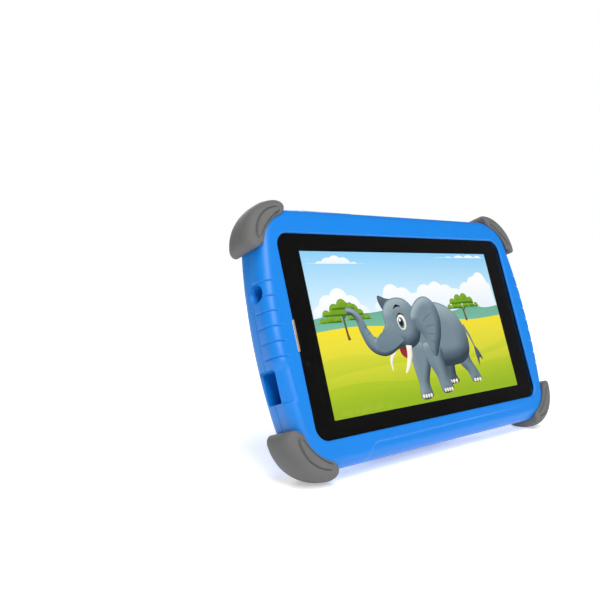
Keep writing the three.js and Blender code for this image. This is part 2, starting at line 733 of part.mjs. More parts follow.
add(tablet, "eye_white", "white", eyeWhite());
add(tablet, "eye_pupil", "black", eyePupil());
add(tablet, "eye_glint", "white", eyeGlint());
add(tablet, "tusk", "white", prism(tuskOutline(), ...INLAY));
add(tablet, "ear_patch", "white", prism(earOutline(), ...INLAY));

add(tablet, "cover_glass", "glass", coverGlass());
add(tablet, "screen_mask", "ink", screenMask());
add(tablet, "lcd_panel", "screen", plateOf(LCD, 1, LCD.back, LCD.front));
add(tablet, "mid_plate", "steel", midPlate());
add(tablet, "tablet_back_cover", "cover", backCover());
add(tablet, "main_board", "board", mainBoard());
add(tablet, "shield_can", "steel", box([-80, -62], [-10, 12], [-8.2, -6.6]));
add(tablet, "card_socket", "steel", box([-92, -78], [-45, -34], [-7.9, -6.6]));
add(tablet, "usb_socket", "steel", usbSocket());
add(tablet, "audio_jack", "black", audioJack());
add(tablet, "front_camera", "lens", frontCamera());
add(tablet, "rear_camera", "black", rearCamera());
add(tablet, "rear_camera_lens", "lens", rearCameraLens());
add(tablet, "earpiece", "steel", box([-91.2, -88.2], [-8, 8], [-3.1, -1.7]));
add(tablet, "microphone", "steel", box([-91.2, -88.2], [-6.5, -3.5], [-7.6, -6.6]));
add(tablet, "speaker", "black", speaker());
add(tablet, "battery", "cell", box([-50, 45], [-30, 30], [PARTS_BACK, -5.5]));
add(tablet, "battery_lead_red", "red", batteryLead(18));
add(tablet, "battery_lead_black", "black", batteryLead(21));
add(tablet, "display_ribbon", "copper", displayRibbon());
add(tablet, "wifi_antenna", "copper", box([48, 84], [41, 50], [-8.4, -8.1]));

add(tablet, "key_board", "board", box([-68, -32], [50.2, 50.8], [-8.2, -5.6]));
const switches = {
  power_switch: POWER.x,
  volume_up_switch: VOLUME.x + 6,
  volume_down_switch: VOLUME.x - 6,
};
for (const [name, x] of Object.entries(switches)) {
  add(tablet, name, "steel", box([x - 2, x + 2], [SWITCH.low, SWITCH.top], [-8, -5.8]));
}
screwPlaces().forEach(([x, y], i) => {
  add(tablet, `plate_screw_${i + 1}`, "steel", screw(x, y, -3.5, -8.2, 1.6, 0.75));
});

// Origin on the floor, under the middle of the whole object.
const part = new THREE.Group();
part.add(tablet);
part.updateMatrixWorld(true);
const bounds = new THREE.Box3().setFromObject(part, true);
const middle = bounds.getCenter(new THREE.Vector3());
tablet.position.set(-middle.x, -middle.y, -bounds.min.z);

export default part;
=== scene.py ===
"""A seven-inch tablet for children in a blue bumper case, leaning on its stand.

Shapes are drawn in the tablet's own frame, in millimetres: x to the right across the screen, y up
the screen, z out of it, with z = 0 on the face of the cover glass. Each piece's object carries the
matrix that puts that frame, or the folded stand's frame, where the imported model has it.
"""

import json
import math

import bmesh
import bpy
import numpy as np
from mathutils import Matrix, Vector
from mathutils.geometry import delaunay_2d_cdt


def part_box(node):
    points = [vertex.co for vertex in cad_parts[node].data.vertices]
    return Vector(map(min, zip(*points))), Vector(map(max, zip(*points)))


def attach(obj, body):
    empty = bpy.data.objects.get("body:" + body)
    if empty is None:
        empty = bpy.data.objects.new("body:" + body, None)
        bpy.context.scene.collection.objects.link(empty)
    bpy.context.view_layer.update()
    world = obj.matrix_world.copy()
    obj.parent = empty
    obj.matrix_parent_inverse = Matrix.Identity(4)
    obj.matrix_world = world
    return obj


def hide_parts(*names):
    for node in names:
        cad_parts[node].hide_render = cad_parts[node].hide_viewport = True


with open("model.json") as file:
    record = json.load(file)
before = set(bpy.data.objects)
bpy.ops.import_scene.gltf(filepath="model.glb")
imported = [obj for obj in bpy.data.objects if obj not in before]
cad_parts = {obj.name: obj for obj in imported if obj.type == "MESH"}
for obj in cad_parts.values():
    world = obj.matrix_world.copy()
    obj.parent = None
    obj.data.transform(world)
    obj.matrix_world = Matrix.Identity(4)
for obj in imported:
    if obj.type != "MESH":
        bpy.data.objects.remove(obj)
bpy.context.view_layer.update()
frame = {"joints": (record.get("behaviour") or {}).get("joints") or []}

MM = 0.001

# ---------------- frames
JOINTS = {joint["name"]: joint for joint in frame["joints"]}
RIGHT = Vector((1, 0, 0))
UP = -Vector(JOINTS["power_press"]["axis"]).normalized()
OUT = Vector(JOINTS["volume_rock"]["axis"]).normalized()
GLASS_THICK = 0.9


def basis(origin):
    """The tablet's axes, placed at a point."""
    matrix = Matrix((RIGHT, UP, OUT)).transposed().to_4x4()
    matrix.translation = origin
    return matrix


glass_low, glass_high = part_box("cover_glass")
TABLET = basis((glass_low + glass_high) / 2 + OUT * (GLASS_THICK / 2 * MM))
OPEN = -math.radians(JOINTS["stand_hinge"]["range_deg"][0])
HINGE_AT = Vector(JOINTS["stand_hinge"]["pos_m"])
STAND_FRAME = (
    Matrix.Translation(HINGE_AT)
    @ Matrix.Rotation(OPEN, 4, "X")
    @ Matrix.Translation(-HINGE_AT)
    @ basis(HINGE_AT)
)
hinge_local = TABLET.inverted() @ HINGE_AT / MM

# ---------------- sizes, in mm
CASE_HALF_W, CASE_HALF_H, CASE_CORNER = 106.0, 65.5, 20.0
SIDE_BOW = 3.0 / 40**2  # how the sides curve in, per mm squared from the middle
PARTING = -9.0
FACE_Z, FACE_EDGE = 1.5, 6.0
BACK_Z, BACK_EDGE, RELIEF = -19.5, 7.0, 1.5
WINDOW = (91.4, 51.6, 7.5)
POCKET = (94.8, 55.8, 9.3)
POCKET_Z = -10.1
LIP_Z, LIP_EDGE = 0.3, 1.0
RIB_PITCH, RIB_TOP, RIBS_LEFT, RIBS_RIGHT = 7.35, 27.3, 6, 9
JACK_Y, JACK_Z, JACK_R = 22.5, -6.0, 4.0
USB_Y, USB_HALF, USB_Z = -22.75, 7.75, (-14.0, -3.8)
LENS_X, LENS_Y, LENS_R = -84.0, 12.0, 5.0
STRIP = (-70.0, -30.0, -15.5, -5.5)
SCREEN_W, SCREEN_H = 77.1, 42.95
LEAST_RADIUS = 1e-3  # of a turned form's ends, which would be points
TABLET_SIDE = -93.0  # the side openings are cut in to here
SMOOTH_ANGLE = 35  # degrees between faces, above which their edge is sharp


# ---------------- plane curves
def arc(cx, cy, r, start, end, steps):
    """Points on an arc, angles in degrees."""
    a = np.radians(np.linspace(start, end, steps + 1))
    return np.stack([cx + r * np.cos(a), cy + r * np.sin(a)], 1)


def spline(points, steps=8, closed=False):
    """A smooth curve through the points."""
    p = np.array(points, float)
    n = len(p)
    if closed:
        p = np.vstack([p[-1], p, p[0], p[1]])
    else:
        p = np.vstack([2 * p[0] - p[1], p, 2 * p[-1] - p[-2]])
    t = np.linspace(0, 1, steps, endpoint=False)[:, None]
    out = []
    for i in range(1, n + (1 if closed else 0)):
        a, b, c, d = p[i - 1], p[i], p[i + 1], p[i + 2]
        cubic = (2 * a - 5 * b + 4 * c - d) * t**2 + (3 * b - a - 3 * c + d) * t**3
        out.append(0.5 * (2 * b + (c - a) * t + cubic))
    if not closed:
        out.append(p[n][None])
    return np.vstack(out)


def signed_area(loop):
    x, y = loop[:, 0], loop[:, 1]
    return 0.5 * np.sum(x * np.roll(y, -1) - y * np.roll(x, -1))


def normals_of(loop):
    """Unit outward normals at a closed loop's points."""
    along = np.roll(loop, -1, 0) - np.roll(loop, 1, 0)
    normal = np.stack([along[:, 1], -along[:, 0]], 1)
    normal /= np.linalg.norm(normal, axis=1)[:, None] + 1e-12
    return normal * np.sign(signed_area(loop))


def grown(loop, distance):
    return loop + normals_of(loop) * distance


def rounded_rect(half_w, half_h, r, steps=8, cx=0.0, cy=0.0):
    x, y = half_w - r, half_h - r
    corners = [(x, y, 0), (-x, y, 90), (-x, -y, 180), (x, -y, 270)]
    return np.vstack([arc(cx + u, cy + v, r, a, a + 90, steps) for u, v, a in corners])


def round_line(line, reach):
    """The outline of a level or upright line drawn with a round pen."""
    half = np.abs(line[1] - line[0]) / 2 + reach
    return rounded_rect(*half, reach * 0.98, 4, *line.mean(0))


def resampled(loop, spacing):
    """A closed loop with points at an even spacing."""
    ring = np.vstack([loop, loop[:1]])
    length = np.concatenate([[0], np.cumsum(np.linalg.norm(np.diff(ring, axis=0), axis=1))])
    count = max(8, int(round(length[-1] / spacing)))
    at = np.linspace(0, length[-1], count, endpoint=False)
    return np.stack([np.interp(at, length, ring[:, i]) for i in (0, 1)], 1)


def distance_to(lines, points):
    """Least distance from each point to any of the polylines, given as (array, closed)."""
    best = np.full(len(points), 1e9)
    for line, closed in lines:
        a = line if closed else line[:-1]
        b = np.roll(line, -1, 0) if closed else line[1:]
        d = b - a
        span = np.sum(d * d, 1) + 1e-12
        low, high = line.min(0) - 4, line.max(0) + 4
        near = np.all((points > low) & (points < high), axis=1)
        for chunk in np.array_split(np.nonzero(near)[0], max(1, near.sum() // 2000)):
            if not len(chunk):
                continue
            p = points[chunk][:, None]
            t = np.clip(np.sum((p - a) * d, 2) / span, 0, 1)
            gap = np.linalg.norm(p - a - t[..., None] * d, axis=2).min(1)
            best[chunk] = np.minimum(best[chunk], gap)
    return best


def inside(loop, points):
    x, y = points[:, 0][:, None], points[:, 1][:, None]
    x0, y0 = loop[:, 0], loop[:, 1]
    x1, y1 = np.roll(x0, -1), np.roll(y0, -1)
    crosses = (y0 > y) != (y1 > y)
    at = x0 + (y - y0) * (x1 - x0) / np.where(y1 == y0, 1e-9, y1 - y0)
    return (np.sum(crosses & (x < at), axis=1) % 2).astype(bool)


def depth_in(loop, points):
    """Distance to a closed loop, positive inside it and negative outside."""
    return distance_to([(loop, True)], points) * np.where(inside(loop, points), 1, -1)


def smooth(low, high, value):
    t = np.clip((value - low) / (high - low), 0, 1)
    return t * t * (3 - 2 * t)


# ---------------- mesh building
def triangulate(outline, lines=(), points=(), holes=()):
    """Triangles over the region inside the outline and outside the holes."""
    coords, edges = [], []
    loops = [(outline, True)] + [(hole, True) for hole in holes] + list(lines)
    for line, closed in loops:
        start, n = len(coords), len(line)
        coords.extend(Vector(p) for p in line)
        edges.extend((start + i, start + (i + 1) % n) for i in range(n if closed else n - 1))
    coords.extend(Vector(p) for p in points)
    flat, _, faces = delaunay_2d_cdt(coords, edges, [], 0, 1e-4)[:3]
    xy = np.array([tuple(v) for v in flat])
    faces = np.array([f for f in faces if len(f) == 3])
    centre = xy[faces].mean(1)
    keep = inside(outline, centre)
    for hole in holes:
        keep &= ~inside(hole, centre)
    used, faces = np.unique(faces[keep], return_inverse=True)
    return xy[used], faces.reshape(-1, 3)


def boundary(faces):
    """The edges that only one triangle has, each in its triangle's direction."""
    edges = [(face[i], face[(i + 1) % 3]) for face in faces.tolist() for i in range(3)]
    present = set(edges)
    return [edge for edge in edges if edge[::-1] not in present]


def grid_points(outline, spacing, margin):
    """A staggered grid of points well inside an outline."""
    low, high = outline.min(0), outline.max(0)
    xs = np.arange(low[0], high[0], spacing)
    ys = np.arange(low[1], high[1], spacing * 0.87)
    rows = [np.stack([xs + spacing / 2 * (i % 2), np.full(len(xs), y)], 1) for i, y in enumerate(ys)]
    points = np.vstack(rows)
    return points[depth_in(outline, points) > margin]


class Shell:
    """Collects vertices and faces, in millimetres."""

    def __init__(self):
        self.vertices = []
        self.faces = []

    def add(self, vertices, faces):
        start = len(self.vertices)
        self.vertices.extend(map(tuple, np.asarray(vertices, float)))
        self.faces.extend(tuple(int(i) + start for i in face) for face in faces)
        return start

    def loft(self, rings, loop_back=False):
        """Quads between closed rings that all have the same number of points."""
        n, count = len(rings[0]), len(rings)
        start = self.add(np.vstack(rings), [])
        last = count if loop_back else count - 1
        for i in range(last):
            a, b = start + i * n, start + (i + 1) % count * n
            for j in range(n):
                k = (j + 1) % n
                self.faces.append((a + j, a + k, b + k, b + j))

    def cap(self, ring):
        self.add(ring, [range(len(ring))])

    def solid(self, rings):
        """A loft closed by a face at each end."""
        self.cap(rings[0][::-1])
        self.loft(rings)
        self.cap(rings[-1])

    def build(self, name, place=TABLET, smooth_angle=SMOOTH_ANGLE):
        mesh = bpy.data.meshes.new(name)
        scaled = (np.array(self.vertices) * MM).tolist()
        mesh.from_pydata(scaled, [], self.faces)
        bm = bmesh.new()
        bm.from_mesh(mesh)
        bmesh.ops.remove_doubles(bm, verts=bm.verts, dist=2e-6)
        bmesh.ops.dissolve_degenerate(bm, edges=bm.edges, dist=1e-7)
        bmesh.ops.recalc_face_normals(bm, faces=bm.faces)
        bm.to_mesh(mesh)
        bm.free()
        mesh.shade_smooth()
        mesh.set_sharp_from_angle(angle=math.radians(smooth_angle))
        return linked(name, mesh, place)


def linked(name, data, place=Matrix.Identity(4)):
    """A new object in the scene, with this mesh, camera or light."""
    obj = bpy.data.objects.new(name, data)
    bpy.context.scene.collection.objects.link(obj)
    obj.matrix_world = place
    return obj


def made(name, draw, *sizes, place=TABLET, **more):
    """An object from a function that draws in a shell."""
    shell = Shell()
    draw(shell, *sizes, **more)
    return shell.build(name, place)


def at_height(loop, z):
    return np.column_stack([loop, np.full(len(loop), 1.0) * z])


def pad(shell, outline, low, high, edge=0.5, steps=4):
    """A flat block with rounded rims."""
    turns = np.radians(np.linspace(0, 90, steps + 1))
    rim = [(edge * (1 - np.sin(a)), edge * (1 - np.cos(a))) for a in turns]
    rings = [at_height(grown(outline, -inset), low + fall) for inset, fall in rim]
    rings += [at_height(grown(outline, -inset), high - fall) for inset, fall in rim[::-1]]
    shell.solid(rings)


def turned(shell, profile, cx, cy, steps=48, axis="z"):
    """A solid of revolution from (radius, height) pairs that start and end on the axis."""
    a = np.linspace(0, 2 * math.pi, steps, endpoint=False)
    rings = []
    for r, h in profile:
        r = max(r, LEAST_RADIUS)
        u, v, height = r * np.cos(a) + cx, r * np.sin(a) + cy, np.full(steps, h)
        rings.append(np.column_stack([u, v, height] if axis == "z" else [height, u, v]))
    shell.solid(rings)


def bar(shell, x, y, z, edge=0.3):
    """A box with rounded edges all along z."""
    outline = rounded_rect((x[1] - x[0]) / 2, (y[1] - y[0]) / 2, edge, 4, sum(x) / 2, sum(y) / 2)
    pad(shell, outline, z[0], z[1], edge * 0.6, 3)


def modified(obj, add_modifier, smooth_angle):
    """Applies one modifier, set up by the function, to the object's mesh."""
    add_modifier(obj)
    graph = bpy.context.evaluated_depsgraph_get()
    mesh = bpy.data.meshes.new_from_object(obj.evaluated_get(graph))
    obj.modifiers.clear()
    old = obj.data
    obj.data = mesh
    bpy.data.meshes.remove(old)
    mesh.shade_smooth()
    mesh.set_sharp_from_angle(angle=math.radians(smooth_angle))


def carve(obj, cutter, operation="DIFFERENCE", smooth_angle=SMOOTH_ANGLE):
    """Cuts the object by another, which is then removed."""

    def add_boolean(target):
        boolean = target.modifiers.new("cut", "BOOLEAN")
        boolean.operation = operation
        boolean.solver = "EXACT"
        boolean.object = cutter

    modified(obj, add_boolean, smooth_angle)
    bpy.data.objects.remove(cutter)
    return obj


def cut_at_floor(obj):
    """Takes off whatever is below the floor, and closes the cut."""
    bm = bmesh.new()
    bm.from_mesh(obj.data)
    bm.transform(obj.matrix_world)
    everything = bm.verts[:] + bm.edges[:] + bm.faces[:]
    cut = bmesh.ops.bisect_plane(
        bm, geom=everything, plane_co=(0, 0, 0), plane_no=(0, 0, -1), clear_outer=True
    )
    edges = [e for e in cut["geom_cut"] if isinstance(e, bmesh.types.BMEdge)]
    bmesh.ops.holes_fill(bm, edges=edges)
    bm.transform(obj.matrix_world.inverted())
    bm.to_mesh(obj.data)
    bm.free()
    obj.data.set_sharp_from_angle(angle=math.radians(SMOOTH_ANGLE))


def coated(obj, material):
    obj.data.materials.clear()
    obj.data.materials.append(material)


def finished(obj, body, slot, material, *nodes):
    """Hands a new piece to its CAD body, with its material, and hides the nodes it stands for. slot is
    not used.
    """
    coated(obj, material)
    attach(obj, body)
    if nodes:
        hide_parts(*nodes)
    return obj


# ---------------- materials
class Nodes:
    """A short way to write a material's node tree."""

    def __init__(self, name):
        self.material = bpy.data.materials.new(name)
        self.material.use_nodes = True
        self.tree = self.material.node_tree
        self.shader = self.tree.nodes["Principled BSDF"]
        self.coordinates = self.add("ShaderNodeTexCoord").outputs["Object"]

    def add(self, kind, inputs=None, **settings):
        node = self.tree.nodes.new(kind)
        for key, value in (inputs or {}).items():
            node.inputs[key].default_value = value
        for key, value in settings.items():
            setattr(node, key, value)
        return node

    def link(self, output, socket):
        self.tree.links.new(output, socket)

    def drive(self, name, output):
        """Feeds a node's output to one of the shader's own sockets."""
        self.link(output, self.shader.inputs[name])

    def noise(self, scale, detail=3.0, roughness=0.5, stretch=(1, 1, 1)):
        mapping = self.add("ShaderNodeMapping", {"Scale": stretch})
        self.link(self.coordinates, mapping.inputs["Vector"])
        values = {"Scale": scale, "Detail": detail, "Roughness": roughness}
        node = self.add("ShaderNodeTexNoise", values)
        self.link(mapping.outputs["Vector"], node.inputs["Vector"])
        return node.outputs["Fac"]

    def ramp(self, value, stops):
        node = self.add("ShaderNodeValToRGB")
        elements = node.color_ramp.elements
        while len(elements) < len(stops):
            elements.new(0.5)
        for element, (position, colour) in zip(elements, stops):
            element.position = position
            element.color = (*colour, 1)
        self.link(value, node.inputs["Fac"])
        return node.outputs["Color"]

    def remap(self, value, low, high):
        node = self.add("ShaderNodeMapRange", {"To Min": low, "To Max": high})
        self.link(value, node.inputs["Value"])
        return node.outputs["Result"]

    def bump(self, height, strength, distance, normal=None):
        node = self.add("ShaderNodeBump", {"Strength": strength, "Distance": distance})
        self.link(height, node.inputs["Height"])
        if normal is not None:
            self.link(normal, node.inputs["Normal"])
        return node.outputs["Normal"]

    def set(self, **values):
        for key, value in values.items():
            self.shader.inputs[key.replace("_", " ")].default_value = value


def linear(colour):
    """An sRGB colour, 0 to 255, as linear light."""
    c = np.array(colour, float) / 255
    return tuple(np.where(c <= 0.04045, c / 12.92, ((c + 0.055) / 1.055) ** 2.4))


def tinted(colour, factor):
    return tuple(min(1.0, c * factor) for c in colour)


CLOUD_SCALE, SHEEN_SCALE, RIPPLE_SCALE = 45, 160, 60  # waves per metre, about


def moulded(name, colour, roughness, grain=2600, grain_depth=0.000009, spread=0.035, **settings):
    """Moulded plastic or rubber: slight colour clouding, uneven sheen and a fine spark texture."""
    m = Nodes(name)
    base = linear(colour)
    shades = [(0.3, tinted(base, 1 - spread)), (0.7, tinted(base, 1 + spread))]
    m.drive("Base Color", m.ramp(m.noise(CLOUD_SCALE, 4, 0.55), shades))
    m.drive("Roughness", m.remap(m.noise(SHEEN_SCALE, 5, 0.6), roughness - 0.06, roughness + 0.06))
    fine = m.bump(m.noise(grain, 2, 0.5), 0.35, grain_depth)
    m.drive("Normal", m.bump(m.noise(RIPPLE_SCALE, 2, 0.4), 0.12, 0.00004, fine))
    m.set(**settings)
    return m.material


def metal(name, colour, roughness, stretch):
    """Plated or brushed metal."""
    m = Nodes(name)
    base = linear(colour)
    lines = m.noise(900, 4, 0.7, stretch)
    m.drive("Base Color", m.ramp(lines, [(0.25, tinted(base, 0.88)), (0.75, tinted(base, 1.08))]))
    m.drive("Roughness", m.remap(lines, roughness - 0.08, roughness + 0.12))
    m.drive("Normal", m.bump(lines, 0.2, 0.00001))
    m.set(Metallic=1.0)
    return m.material


def clear_glass():
    m = Nodes("polished_glass")
    m.drive("Roughness", m.remap(m.noise(70, 3), 0.012, 0.03))
    m.set(Base_Color=(1, 1, 1, 1), Transmission_Weight=1.0, IOR=1.45, Specular_IOR_Level=0.1)
    return m.material


def circuit_board():
    m = Nodes("solder_mask")
    voronoi = m.add("ShaderNodeTexVoronoi", {"Scale": 260}, feature="DISTANCE_TO_EDGE")
    m.link(m.coordinates, voronoi.inputs["Vector"])
    green, trace = linear((18, 84, 50)), linear((34, 122, 74))
    m.drive("Base Color", m.ramp(voronoi.outputs["Distance"], [(0.03, trace), (0.09, green)]))
    m.drive("Roughness", m.remap(m.noise(300), 0.35, 0.5))
    return m.material


def display_light(name, stops, texture, scale):
    """Light from the display: a colour ramp over a value kept on the mesh, with a little texture."""
    m = Nodes(name)
    value = m.add("ShaderNodeAttribute", attribute_name="shade").outputs["Fac"]
    if texture:
        mix = m.add("ShaderNodeMath", operation="ADD")
        m.link(value, mix.inputs[0])
        m.link(m.remap(m.noise(scale, 3), -texture, texture), mix.inputs[1])
        value = mix.outputs["Value"]
    m.drive("Emission Color", m.ramp(value, [(at, linear(rgb)) for at, rgb in stops]))
    m.set(Base_Color=(0, 0, 0, 1), Roughness=0.6, Specular_IOR_Level=0.0,
          Emission_Strength=SCREEN_LIGHT)
    return m.material


SCREEN_LIGHT = 1.12
CASE = moulded("case_plastic", (6, 120, 209), 0.42, spread=0.02,
               Specular_IOR_Level=0.45, Coat_Weight=0.06, Coat_Roughness=0.35)
STAND = moulded("stand_plastic", (5, 115, 204), 0.36, spread=0.02,
                Specular_IOR_Level=0.5, Coat_Weight=0.15, Coat_Roughness=0.3)
RUBBER = moulded("bumper_rubber", (101, 101, 100), 0.66, grain=3600, grain_depth=0.000009,
                 spread=0.05, Specular_IOR_Level=0.2)
WHITE = moulded("white_plastic", (246, 246, 244), 0.35, spread=0.01, Coat_Weight=0.2)
EYE_BLACK = moulded("black_gloss_plastic", (12, 12, 13), 0.22, spread=0.1, Coat_Weight=0.5)
BLACK = moulded("black_plastic", (26, 26, 28), 0.45, spread=0.1)
MASK = moulded("printed_border", (7, 7, 8), 0.6, spread=0.1, Specular_IOR_Level=0.0)
RED = moulded("red_insulation", (170, 22, 22), 0.45)
LEAD_BLACK = moulded("black_insulation", (20, 20, 20), 0.45)
FLEX = moulded("amber_flex", (196, 134, 58), 0.35)
FOIL = metal("foil_pouch", (196, 200, 206), 0.38, (1, 0.4, 1))
STEEL = metal("plated_steel", (190, 193, 198), 0.26, (0.2, 1, 1))
MESH = metal("pale_mesh_steel", (214, 200, 180), 0.5, (1, 1, 1))
GLASS = clear_glass()
BOARD = circuit_board()
LENS = moulded("coated_lens", (14, 18, 32), 0.06, grain=400, grain_depth=0.000001, spread=0.2,
               Coat_Weight=1.0, Coat_Roughness=0.02)


# ---------------- the case's outline
def quarter(half_w, half_h, corner, bow, side_cuts, top_cuts, corner_steps=24):
    """A quarter of a loop, from the middle of the right side to the middle of the top."""
    y_mid = half_h - corner
    y_end = y_mid
    for _ in range(20):
        y_end = y_mid + corner * math.sin(math.atan(2 * bow * y_end))
    lean = math.degrees(math.atan(2 * bow * y_end))
    x_mid = half_w - bow * y_end**2 - corner * math.cos(math.radians(lean))
    y = side_cuts * y_end
    side = np.stack([half_w - bow * y**2, y], 1)
    turn = arc(x_mid, y_mid, corner, lean, 90, corner_steps)
    x = top_cuts * x_mid
    top = np.stack([x, np.full(len(x), half_h)], 1)
    return np.vstack([side, turn, top])


def whole(part):
    """The full loop from its upper right quarter."""
    flip_x = part * (-1, 1)
    flip_y = part * (1, -1)
    return np.vstack([part[:-1], flip_x[::-1][:-1], -part[:-1], flip_y[::-1][:-1]])


RIBBED_SHARE = 0.74  # the ribs lie in this share of the side, which is cut finer
side_cuts = np.concatenate([np.linspace(0, RIBBED_SHARE, 150), np.linspace(RIBBED_SHARE, 1, 14)[1:-1]])
top_cuts = np.linspace(1, 0, 166)[1:]


def matched_loop(half_w, half_h, corner, bow=0.0):
    return whole(quarter(half_w, half_h, corner, bow, side_cuts, top_cuts))


case_loop = matched_loop(CASE_HALF_W, CASE_HALF_H, CASE_CORNER, SIDE_BOW)
case_normal = normals_of(case_loop)
window_loop = matched_loop(*WINDOW)
window_normal = normals_of(window_loop)
pocket_loop = matched_loop(*POCKET)


def rim_profile(edge, face_z, way, turns):
    """Rows of (inset, height, slope in degrees) round a rounded rim. way is 1 on the front."""
    rows = []
    for turn in turns:
        a = math.radians(turn)
        rows.append((edge * (1 - math.cos(a)), face_z - way * edge * (1 - math.sin(a)), way * turn))
    return rows


def section_ring(inset, z, slope, raised):
    """A ring round the case at one row of a profile. raised(xy, z) says how far each point is
    moved out along the profile's own normal."""
    xy = case_loop - case_normal * inset
    lift = raised(xy, z)
    c, s = math.cos(math.radians(slope)), math.sin(math.radians(slope))
    return np.column_stack([xy + case_normal * (lift * c)[:, None], z + lift * s])


# ---------------- front frame
CREASE = spline([(-64, -66), (-60.8, -62.5), (-57.2, -58.4), (-54.5, -57.0), (-50, -56.9),
                 (0, -56.5), (80, -56.1)], 6)
SCOOP_TOP, SCOOP_END, SCOOP_DEPTH = -11.5, -30.6, 0.95
RIB_CROWN, RIB_DEPTH, RIB_WIDTH = 0.07, 0.5, 0.27
CREASE_DEPTH = 0.42


def rib_lift(xy, z):
    """Fine grooves with softly crowned bands between them, on both short sides."""
    x, y = xy[:, 0], xy[:, 1]
    lift = np.zeros(len(xy))
    reach = smooth(97.2, 99.2, np.abs(x)) * smooth(-8.2, -6.8, z)
    for sign, count in ((-1, RIBS_LEFT), (1, RIBS_RIGHT)):
        bottom = RIB_TOP - (count - 1) * RIB_PITCH
        side = (np.sign(x) == sign) * reach
        phase = (RIB_TOP - y) / RIB_PITCH
        band = smooth(bottom - 3.4, bottom - 1.0, y) * smooth(RIB_TOP + 3.4, RIB_TOP + 1.0, y)
        lift += side * band * RIB_CROWN * np.abs(np.sin(math.pi * phase))
        for i in range(count):
            lift -= side * RIB_DEPTH * np.exp(-(((y - RIB_TOP + i * RIB_PITCH) / RIB_WIDTH) ** 2))
    return lift


def scoop_lift(xy, slope_share):
    """A shallow finger scoop beside the charging cut-out, ending in a step below it."""
    x, y = xy[:, 0], xy[:, 1]
    along = smooth(SCOOP_TOP, SCOOP_TOP - 4.5, y) * smooth(SCOOP_END - 0.35, SCOOP_END + 0.35, y)
    return -SCOOP_DEPTH * slope_share * along * (x < -90)


def crease_lift(xy):
    """The lower edge is set back a little below a crease that fades to the right."""
    y_line = np.interp(xy[:, 0], CREASE[:, 0], CREASE[:, 1])
    away = distance_to([(CREASE, False)], xy)
    below = np.where((xy[:, 1] < y_line) & (xy[:, 0] > CREASE[0, 0]), away, -away)
    fade = 1 - smooth(20, 78, xy[:, 0])
    return -CREASE_DEPTH * smooth(-0.25, 0.45, below) * fade * (xy[:, 1] < -50)


def front_frame():
    seam = [(0.25, PARTING - 0.1, 0), (0.04, PARTING + 0.08, 0), (0, PARTING + 0.35, 0)]
    wall = [(0, z, 0) for z in (-7.8, -6.8, -5.8, -5.0)]
    rings = []
    for inset, z, slope in seam + wall + rim_profile(FACE_EDGE, FACE_Z, 1, np.linspace(0, 90, 13)):
        a = math.radians(slope)
        rings.append(section_ring(inset, z, slope, lambda xy, height: rib_lift(xy, height)
                                  + scoop_lift(xy, math.sin(2 * a)) + crease_lift(xy) * math.sin(a)))
    outer = case_loop - case_normal * FACE_EDGE
    inner = window_loop + window_normal * LIP_EDGE
    for t in np.linspace(0, 1, 20)[1:]:
        xy = outer * (1 - t) + inner * t
        rings.append(np.column_stack([xy, FACE_Z + crease_lift(xy) + rib_lift(xy, 0.0)]))
    for a in np.radians(np.linspace(90, 0, 6))[1:]:
        xy = window_loop + window_normal * LIP_EDGE * (1 - math.cos(a))
        rings.append(at_height(xy, FACE_Z - LIP_EDGE * (1 - math.sin(a))))
    rings.append(at_height(window_loop, LIP_Z))
    rings.append(at_height(pocket_loop, LIP_Z))
    rings.append(at_height(pocket_loop, PARTING - 0.1))
    shell = Shell()
    shell.loft(rings, loop_back=True)
    return shell.build("front_frame_skin")


def side_cutters(name):
    """The jack hole, the charging slot, the button slot and the earpiece notch."""
    shell = Shell()
    far = -CASE_HALF_W - 6
    mouth = -CASE_HALF_W + 1.7
    turned(shell, [(0, far), (JACK_R + 1.6, far), (JACK_R + 0.7, mouth), (JACK_R, mouth + 1.2),
                   (JACK_R, TABLET_SIDE), (0, TABLET_SIDE)], JACK_Y, JACK_Z, axis="x")
    slot = rounded_rect(USB_HALF, (USB_Z[1] - USB_Z[0]) / 2, 0.9, 5, USB_Y, sum(USB_Z) / 2)
    shell.solid([np.roll(at_height(grown(slot, grow), x), 1, 1)
                 for x, grow in ((far, 0.9), (-104.9, 0.55), (-104.1, 0.0), (TABLET_SIDE, 0.0))])
    x0, x1, z0, z1 = STRIP
    outline = rounded_rect((x1 - x0) / 2 + 0.25, (z1 - z0) / 2 + 0.25, 1.6, 5, (x0 + x1) / 2,
                           (z0 + z1) / 2)
    shell.solid([at_height(outline, y)[:, [0, 2, 1]] for y in (POCKET[1] - 1, CASE_HALF_H + 6)])
    bar(shell, (-92.5, -90.0), (-8.3, 8.0), (-0.6, 4.0), 0.35)
    return shell.build(name)


# ---------------- rear shell
def from_behind(points):
    """Turns a list drawn as seen from behind into the tablet's own x."""
    flipped = np.array(points, float) * (-1, 1)
    return flipped[::-1]


brow = spline([(-77, 52), (-80.5, 42), (-74, 28), (-57, 21), (-38, 25), (-16, 43), (8, 52.5),
               (45, 54.5), (97, 43)], 10)
belly = spline([(-45, -68), (-46, -34), (-56, -14), (-82, 6), (-93, 27), (-91, 47), (-83, 56)], 10)
tip = spline([(-83, 56), (-80.6, 56.4), (-79.6, 54.6), (-78.2, 55.0), (-77, 52)], 4)[1:-1]
elephant_loop = resampled(from_behind(np.vstack([brow, [(118, 43), (118, -68)], belly, tip])), 1.2)

